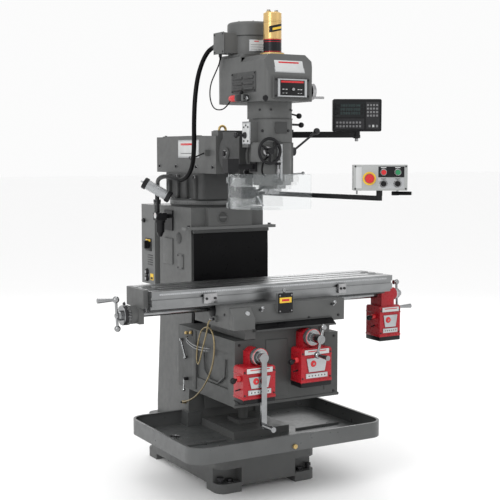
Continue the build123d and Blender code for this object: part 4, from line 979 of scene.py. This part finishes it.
def kneeDetail():
    # The knee's ribs, strips and rails take the darker casting paint as painted shade.
    shapes = [(slab((-277, -190, 452), (-271, -154, 730), 3), "castingInShade"),
              (slab((-279, -164, 700), (-276, -132, 728), 1), "plastic"),
              (slab((-280, -158, 706), (-278.8, -138, 722), 0.6), "screen"),
              (slab((-276, -372, 640), (-271.5, -358, 716), 1.5), "plastic"),
              (slab((-116, -559, 470), (-2, -554, 728), 4, 3), "castingInShade"),
              (slab((196, -558, 470), (206, -554, 740), 3, 3), "castingInShade"),
              (slab((-278, -559, 438), (278, -553, 452), 4, 3), "castingInShade")]
    outline = [(-272, -470, 640), (-272, -460, 560), (-272, -400, 522), (-272, -330, 522),
               (-272, -270, 560), (-272, -262, 640)]
    for first, second in zip(outline, outline[1:]):
        add(shapes, "castingInShade", bar(first, second, 5.0, sides=12))
    for yy, zz in ((-103, 708), (-150, 716)):
        add(shapes, "brass", spun([(0, 12), (6, 12), (8, 9), (8, 0), (0, 0)], (-276, yy, zz), toLeft))
    shapes += [(bar((-272, -100, 488), (-296, -100, 488), 8, sides=20, bevel=1), "darkSteel"),
               (bar((-292, -100, 488), (-300, -112, 446), 5, 4, sides=20), "chrome"),
               (spun([(0, 8), (6, 6), (8.5, 0), (6, -6), (0, -8)], (-301, -114, 440), upward, 24),
                "chrome")]
    screwRows(shapes, "darkSteel", (-250, 250), (-555,), (460, 716), toFront, 6.0, 3.0)
    piece("knee_fittings", "knee_body", shapes)

    for name, offset in (("oil_pipe_upper", 0), ("oil_pipe_lower", -12)):
        points = [(x, y, z + offset) for x, y, z in oilPipe["points"]]
        ridingLine(name, points, oilPipe["width"], "chrome", "knee_body")

    shapes = []
    r = feedDials["radius"]
    for cx, cy, cz in feedDials["centres"]:
        shapes.append((spun([(14, -28), (r + 1, -28), (r + 3, -25), (r + 3, -2), (r, 0), (16, 2)],
                            (cx, cy - 44, cz), toFront, 64), "silver"))
        for k in range(36):
            tick = slab((-0.5, -70, r + 2.8), (0.5, -58 if k % 4 else -52, r + 3.6), 0)
            turned(tick, k * 10, "Y", (0, 0, 0))
            bmesh.ops.translate(tick, vec=(cx, cy + 42, cz), verts=tick.verts)
            add(shapes, "plastic", tick)
        add(shapes, "redPlastic", hoop((cx, cy - 43, cz), toFront, r + 1.2, 1.6, 48))
    piece("knee_dials", "knee_body", shapes)


# Power feeds: rims, labels, speed dial, ball lever and black foot on a squared red casting.
feedPlaces = {
    "knee_power_feed": dict(body="knee_body", low=(-286, -655, 477), high=(-126, -570, 636)),
    "saddle_power_feed": dict(body="knee_body", low=(9, -655, 517), high=(169, -570, 690)),
    "table_power_feed": dict(body="table_body", low=(617, -416, 636), high=(741, -304, 806)),
}


def feedDetail(name, f):
    (x0, y0, z0), (x1, y1, z1) = f["low"], f["high"]
    middle = (x0 + x1) / 2
    wide = x1 - x0
    foot = z0 + (z1 - z0) * 0.18
    shapes = [(slab((x0 - 1.5, y0 - 1.5, z0 - 2), (x1 + 1.5, y1 + 1.5, foot - 10), 5), "plastic"),
              (slab((x0 - 2.5, y0 - 2.5, foot - 10), (x1 + 2.5, y1 + 2.5, foot), 2.5), "redPaint"),
              (slab((x0 - 2.0, y0 - 2.0, z1 - 36), (x1 + 2.0, y1 + 2.0, z1 - 30), 2), "redPaint")]
    plate = slab((middle - wide * 0.36, y0 - 4, foot + 8), (middle + wide * 0.36, y0 - 1, foot + 30), 1.2)
    add(shapes, "silver", plate)
    add(shapes, "label", slab((middle - wide * 0.32, y0 - 5, foot + 12),
                              (middle + wide * 0.32, y0 - 4, foot + 26), 0.3))
    for k in range(6):
        x = middle - wide * 0.26 + k * wide * 0.104
        add(shapes, "castingDark", slab((x - 3, y0 - 5.5, foot + 16), (x + 3, y0 - 5, foot + 22), 0.1))
    panel = slab((middle - wide * 0.34, y0 - 5, foot + 36), (middle + wide * 0.34, y0 - 1, z1 - 44), 2.0)
    for vert in panel.verts:
        if vert.co.z < (foot + z1) / 2 - 4:
            vert.co.x = middle + (vert.co.x - middle) * 0.78
    add(shapes, "silver", panel)
    add(shapes, "label", slab((middle - wide * 0.40, y0 - 6, z1 - 28),
                              (middle + wide * 0.40, y0 - 1, z1 - 6), 1.5))
    add(shapes, "redPlastic", slab((middle - wide * 0.30, y0 - 6.6, z1 - 15),
                                   (middle + wide * 0.30, y0 - 6, z1 - 11), 0.1))
    dial = (middle - wide * 0.12, y0 - 5, (foot + z1) / 2 + 2)
    add(shapes, "redPlastic", spun([(0, 4), (12, 4), (14, 2.5), (15, 0), (0, 0)], dial, toFront, 36))
    add(shapes, "chrome", bar(dial, (dial[0], dial[1] - 4.6, dial[2]), 4, sides=16))
    screwRows(shapes, "darkSteel", (x0 + 7, x1 - 7), (y0 - 0.5,), (foot + 8, z1 - 22), toFront)
    left = x0 - 2
    lever = (left, (y0 + y1) / 2 - 14, z1 - 52)
    shapes += [(spun([(0, 16), (9, 16), (12, 12), (13, 0), (0, 0)], lever, toLeft, 30), "redPlastic"),
               (bar((left - 14, lever[1], lever[2]), (left - 26, lever[1] - 4, lever[2] - 3), 5,
                    sides=16), "plastic")]
    grip = bmesh.new()
    bmesh.ops.create_uvsphere(grip, u_segments=28, v_segments=16, radius=14)
    bmesh.ops.scale(grip, vec=(1, 1, 0.94), verts=grip.verts)
    bmesh.ops.translate(grip, vec=(left - 36, lever[1] - 6, lever[2] - 4), verts=grip.verts)
    add(shapes, "plastic", grip)
    add(shapes, "plastic", bar((left + 2, lever[1], lever[2] - 46), (left - 22, lever[1], lever[2] - 50),
                               3.4, 2.6, sides=14))
    piece(name + "_face", f["body"], shapes)


tableDetail()
tableDialDetail()
saddleDetail()
kneeDetail()
for feedName, feedPlace in feedPlaces.items():
    feedDetail(feedName, feedPlace)
print("table, saddle and knee detail made")


# Readout: bezel, dark screen, three rows of figures and a keypad.
readout = dict(place=(600.0, -232.0, 1737.4), turn=-30.0, wide=240.0, high=158.0, deep=46.0)


# Shapes drawn about the panel's own centre, front towards -Y, are turned into place.
def placeOnPanel(shapes, panel):
    for shape, look in shapes:
        bmesh.ops.rotate(shape, cent=(0, 0, 0), verts=shape.verts,
                         matrix=Matrix.Rotation(math.radians(panel["turn"]), 3, "Z"))
        bmesh.ops.translate(shape, vec=panel["place"], verts=shape.verts)
    return shapes


def readoutDetail():
    r = readout
    f = -r["deep"] / 2
    w, h = r["wide"] / 2, r["high"] / 2
    shapes = [(slab((-w + 3, f - 2.5, -h + 3), (w - 3, f, h - 3), 1.5), "plastic"),
              (slab((-w + 12, f - 3.2, -8), (34, f - 2.4, h - 14), 0.6), "screen"),
              (slab((-w + 12, f - 3.0, -h + 12), (34, f - 2.4, -16), 0.6), "darkSteel"),
              (slab((44, f - 3.0, -h + 12), (w - 12, f - 2.4, h - 14), 0.6), "darkSteel")]
    for row in range(3):
        z = h - 26 - row * 19
        add(shapes, "plastic", slab((-w + 18, f - 3.8, z - 12), (28, f - 3.2, z + 2), 0.4))
        for k in range(8):
            x = -w + 42 + k * 12.5
            for dz in (-10.5, -5.2, 0.2):
                add(shapes, "digits", slab((x - 3, f - 4.3, z + dz - 0.7), (x + 3, f - 3.8, z + dz + 0.7),
                                           0))
            for dx in (-3.4, 3.4):
                if (k + row) % 3 or dx > 0:
                    add(shapes, "digits", slab((x + dx - 0.7, f - 4.3, z - 9.8),
                                               (x + dx + 0.7, f - 3.8, z - 0.6), 0))
    for row in range(4):
        for column in range(4):
            x = 52 + column * 15
            z = h - 30 - row * 17
            add(shapes, "keys", slab((x - 5, f - 5, z - 5), (x + 5, f - 3, z + 5), 1.2))
    for column in range(8):
        x = -w + 22 + column * 16
        add(shapes, "keys", slab((x - 5, f - 5, -h + 20), (x + 5, f - 3, -h + 30), 1.2))
        add(shapes, "keys", slab((x - 5, f - 5, -h + 38), (x + 5, f - 3, -h + 48), 1.2))
    for column in range(3):
        add(shapes, "label" if column == 1 else "keys",
            slab((56 + column * 18, f - 5, -h + 20), (66 + column * 18, f - 3, -h + 32), 1.2))
    for z in range(-50, 60, 12):
        add(shapes, "darkSteel", slab((-70, -f - 0.5, z), (70, -f + 1.5, z + 5), 0.8))
    add(shapes, "plastic", slab((-30, -f, -20), (30, -f + 12, 20), 3))
    placeOnPanel(shapes, r)
    piece("readout_face", "display", shapes)

    shapes = [(spun([(16, 0), (19, 2), (19, 16), (16, 18), (0, 18)], (600, -232, 1625), upward, 32),
               "plastic"),
              (bar((600, -232, 1610), (600, -232, 1627), 9, sides=6, bevel=1), "steel")]
    piece("readout_knuckle", "dro_swing_arm", shapes)


# Pendant: legend plates, guard ring, wire hook and grip.
pendant = dict(place=(400.0, -690.0, 1443.4), turn=-30.0, wide=240.0, high=114.0, deep=78.0)


def pendantDetail():
    p = pendant
    f = -p["deep"] / 2
    w, h = p["wide"] / 2, p["high"] / 2
    shapes = [(slab((-w - 1, f - 1.5, -h - 1), (w + 1, f + 8, h + 1), 3), "pale"),
              (slab((-10, f - 3, 2), (w - 14, f - 1.5, h - 7), 1.5), "plastic"),
              (slab((-10, f - 2.2, -h + 8), (w - 14, f - 1.5, -1), 1.0), "silver"),
              (slab((-w + 10, f - 2.6, -h + 10), (-12 - 72, f - 1.5, h - 10), 1.0), "label"),
              (spun([(22, 0), (29, 0), (30, 1), (29, 3), (22, 3)], (-50, f - 1.5, -4), toFront, 48),
               "yellow")]
    for x, z in ((13, 24), (76, 24)):
        add(shapes, "chrome", spun([(11.5, 0), (16, 0), (16, 3), (14, 5), (11.5, 5)], (x, f - 3, z),
                                   toFront, 40))
        add(shapes, "label", slab((x - 12, f - 3.4, z + 19), (x + 12, f - 3, z + 23), 0.1))
    for x, z in ((13, -27), (76, -27)):
        add(shapes, "chrome", spun([(12.5, 0), (18, 0), (18, 2), (16, 4), (12.5, 4)], (x, f - 2.2, z),
                                   toFront, 40))
        add(shapes, "castingDark", slab((x - 12, f - 2.6, z + 20), (x + 12, f - 2.2, z + 23), 0.1))
    screwRows(shapes, "darkSteel", (7 - w, w - 7), (f - 1.5,), (7 - h, h - 7), toFront)
    placeOnPanel(shapes, p)
    piece("pendant_face", "pendant", shapes)

    shapes = [(bar((-w + 18, -6, -h - 2), (-w + 18, -6, -h - 18), 4, sides=16), "chrome"),
              (spun([(8, 0), (9.5, 2), (9.5, 30), (8.5, 33), (8.5, 86), (7, 90), (0, 90)],
                    (w - 66, -10, -h - 14), (1, 0, 0), 28), "rubber")]
    placeOnPanel(shapes, p)
    piece("pendant_grip", "pendant", shapes)


# Rubber way covers, hung in shallow waves between their bars.
# A thin sheet from low to high corner, bulging outward between its ends.
def waveSheet(low, high, outward, waves, deep):
    bm = bmesh.new()
    wide = high[0] - low[0]
    drop = Vector((0, high[1] - low[1], high[2] - low[2]))
    bmesh.ops.create_grid(bm, x_segments=24, y_segments=48, size=0.5)
    for vert in bm.verts:
        across, along = vert.co.x + 0.5, vert.co.y + 0.5
        swell = deep * math.sin(math.pi * along) * (0.6 + 0.4 * math.sin(math.pi * across))
        ripple = 0.14 * deep * math.sin(math.tau * waves * along)
        place = Vector((low[0] + across * wide, low[1], low[2])) + drop * along
        vert.co = place + Vector(outward) * (swell + ripple)
    bmesh.ops.recalc_face_normals(bm, faces=bm.faces)
    bmesh.ops.solidify(bm, geom=bm.faces, thickness=2.5)
    return bm


def coverDetail():
    sheet = waveSheet((-206, -34, 738), (206, -34, 1186), toFront, 3, 3.0)
    made = piece("rear_rubber_cover", "frame", [
        (sheet, "rubber"), (slab((-208, -44, 1170), (208, -30, 1185.5), 2), "castingDark")],
        stands=("rear_way_cover",), riding=False)
    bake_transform(made)

    sheet = waveSheet((-188, -603, 781), (228, -562, 809), (0, -0.5, 0.86), 2, 4.0)
    made = piece("front_rubber_cover", "saddle_body", [
        (sheet, "rubber"), (slab((-190, -604, 776), (230, -598, 784), 1.5), "castingDark"),
        (slab((-190, -568, 800), (230, -561, 811), 1.5), "castingDark")],
        stands=("front_way_cover",), riding=False)
    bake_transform(made)

    shapes = []
    for side in (-1, 1):
        shapes += hexBolt((side * 225, -20, 1200), upward, 8.0, 6.0)
    piece("cover_bar_bolts", "frame", shapes)


# Base and pan: drain, strainer, side plates and the bolts in the foot pockets.
def baseDetail():
    shapes = [(spun([(0, 2), (26, 2), (30, 0.5), (30, 0)], (-369, -144, 228), upward, 36), "darkSteel"),
              (hoop((-369, -144, 230), upward, 27, 1.6, 36), "steel"),
              (slab((-440, -330, 228), (-190, -322, 240), 2), "pan"),
              (slab((190, -330, 228), (440, -322, 240), 2), "pan")]
    for k in range(6):
        turn = k * math.tau / 6
        add(shapes, "plastic", spun([(0, 3.2), (3.5, 3.2), (3.5, 2)],
                                    (-369 + 14 * math.cos(turn), -144 + 14 * math.sin(turn),
                                     228), upward, 12))
    add(shapes, "brass", bar((0, -616, 246), (0, -626, 246), 12, sides=6, bevel=1.2))
    piece("pan_fittings", "frame", shapes)

    shapes = []
    for x in (-190, 190):
        for y in (-358, 358):
            shapes += hexBolt((x, y, 45), upward, 15.0, 12.0)
    for side in (-1, 1):
        for y in (-150, 150):
            add(shapes, "casting", spun([(0, 4), (26, 4), (30, 1), (30, -2)], (side * 265, y, 135),
                                        (side, 0, 0), 40))
    piece("base_fittings", "frame", shapes)


# The conduit and the lube line are cut in pieces that cross one joint each; the valve cord crosses none.
lineWidths = dict(conduit=22.0, lube=7.0, valve=6.0)
conduitPoints = [(-150, -170, 2040), (-150, -120, 2042), (-175, -95, 2000), (-215, -110, 1920),
                 (-240, -125, 1820), (-250, -132, 1700), (-238, -110, 1580), (-222, -60, 1480),
                 (-222, 30, 1420), (-226, 130, 1430), (-222, 250, 1440), (-205, 360, 1420),
                 (-162, 455, 1386), (-150, 487, 1340), (-150, 487, 1300)]
lubePoints = [(-316.2, -445, 823), (-343, -445, 823), (-348, -440, 770), (-346, -395, 690),
              (-340, -343, 596), (-334, -308, 618), (-330, -316, 700), (-328, -352, 772),
              (-328, -440, 788), (-328, -478, 720), (-328, -452, 600), (-324, -350, 490),
              (-300, -190, 404), (-262, 10, 350), (-220, 33, 342)]
valvePoints = [(-150, -205, 2004.5), (-150, -205, 1972), (-150, -160, 1925), (-150, -108, 1875),
               (-150, -98, 1812), (-150, -135, 1758), (-150, -215, 1748), (-144, -262, 1768),
               (-140, -287, 1794)]


def halfway(first, second):
    return tuple((a + b) / 2 for a, b in zip(first, second))


def lineDetail():
    c = conduitPoints
    cutHead, cutRam, cutTurret = halfway(c[5], c[6]), halfway(c[6], c[7]), halfway(c[9], c[10])
    runs = [("conduit_head", c[:6] + [cutHead], "head", "adapter", c[3], cutHead),
            ("conduit_neck", [cutHead, c[6], cutRam], "adapter", "ram_body", cutHead, cutRam),
            ("conduit_ram", [cutRam] + c[7:10] + [cutTurret], "ram_body", "turret_body", cutRam,
             cutTurret),
            ("conduit_rear", [cutTurret] + c[10:], "turret_body", "frame", cutTurret, c[13])]
    for name, points, first, second, start, end in runs:
        made = showMesh(name, lineTube(name, points, lineWidths["conduit"], 16), ["rubber"])
        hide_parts("motor_conduit")
        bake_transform(made)

    p = lubePoints
    cut = halfway(p[8], p[9])
    runs = [("lube_line_upper", p[:9] + [cut], "saddle_body", "knee_body", p[0], cut),
            ("lube_line_lower", [cut] + p[9:], "knee_body", "frame", p[10], p[14])]
    for name, points, first, second, start, end in runs:
        made = showMesh(name, lineTube(name, points, lineWidths["lube"], 14), ["brassLine"])
        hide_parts("lube_line")
        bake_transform(made)
    made = showMesh("valve_cord_line", lineTube("valve_cord_line", valvePoints, lineWidths["valve"], 14),
                    ["rubber"])
    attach(made, "head")
    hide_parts("valve_cord")
    shapes = [(bar((-214, 33, 342), (-236, 33, 343), 8, sides=6, bevel=1), "brass")]
    add(shapes, "plastic", bar((-232, 33, 343), (-246, 31, 344), 5.4, 4.6, sides=20))
    piece("column_oil_fitting", "frame", shapes)


readoutDetail()
pendantDetail()
coverDetail()
baseDetail()
lineDetail()
print("controls, covers and lines made")


# Camera, pale floor and soft studio light.
studio = dict(cameraPlace=(-2.537, -4.604, 1.558), target=(0.0163, -0.1894, 1.0936), lens=77.57,
              floorHalf=60.0, floorColor=(0.97, 0.97, 0.97), worldStrength=0.97)


def makeStudio():
    camera = bpy.data.objects.new("camera", bpy.data.cameras.new("camera"))
    bpy.context.scene.collection.objects.link(camera)
    camera.location = studio["cameraPlace"]
    look = Vector(studio["target"]) - Vector(studio["cameraPlace"])
    camera.rotation_euler = look.to_track_quat("-Z", "Y").to_euler()
    camera.data.lens = studio["lens"]
    camera.data.sensor_width = 36.0
    camera.data.clip_end = 200.0
    bpy.context.scene.camera = camera

    bm = bmesh.new()
    bmesh.ops.create_grid(bm, x_segments=2, y_segments=2, size=studio["floorHalf"])
    mesh = bpy.data.meshes.new("floor")
    bm.to_mesh(mesh)
    bm.free()
    floor = bpy.data.objects.new("floor", mesh)
    bpy.context.scene.collection.objects.link(floor)
    paper = bpy.data.materials.new("floorPaper")
    paper.use_nodes = True
    shader = paper.node_tree.nodes["Principled BSDF"]
    shader.inputs["Base Color"].default_value = (*studio["floorColor"], 1)
    shader.inputs["Roughness"].default_value = 0.9
    mesh.materials.append(paper)

    world = bpy.data.worlds.new("studio")
    world.use_nodes = True
    world.node_tree.nodes["Background"].inputs["Color"].default_value = (1, 1, 1, 1)
    world.node_tree.nodes["Background"].inputs["Strength"].default_value = studio["worldStrength"]
    bpy.context.scene.world = world

    bpy.context.scene.view_settings.view_transform = "Standard"
    lamps = [("key", (-5.2, -2.9, 4.0), 130.0, 2.6), ("fill", (3.6, -5.0, 2.2), 10.0, 3.0),
             ("top", (0.0, -0.5, 5.4), 40.0, 3.2), ("rear", (2.6, 4.2, 3.6), 50.0, 2.4)]
    for name, place, power, size in lamps:
        light = bpy.data.lights.new(name, "AREA")
        light.energy = power
        light.size = size
        holder = bpy.data.objects.new(name, light)
        bpy.context.scene.collection.objects.link(holder)
        holder.location = place
        aim = Vector((0, -0.2, 1.1)) - Vector(place)
        holder.rotation_euler = aim.to_track_quat("-Z", "Y").to_euler()


makeStudio()
print("studio ready")
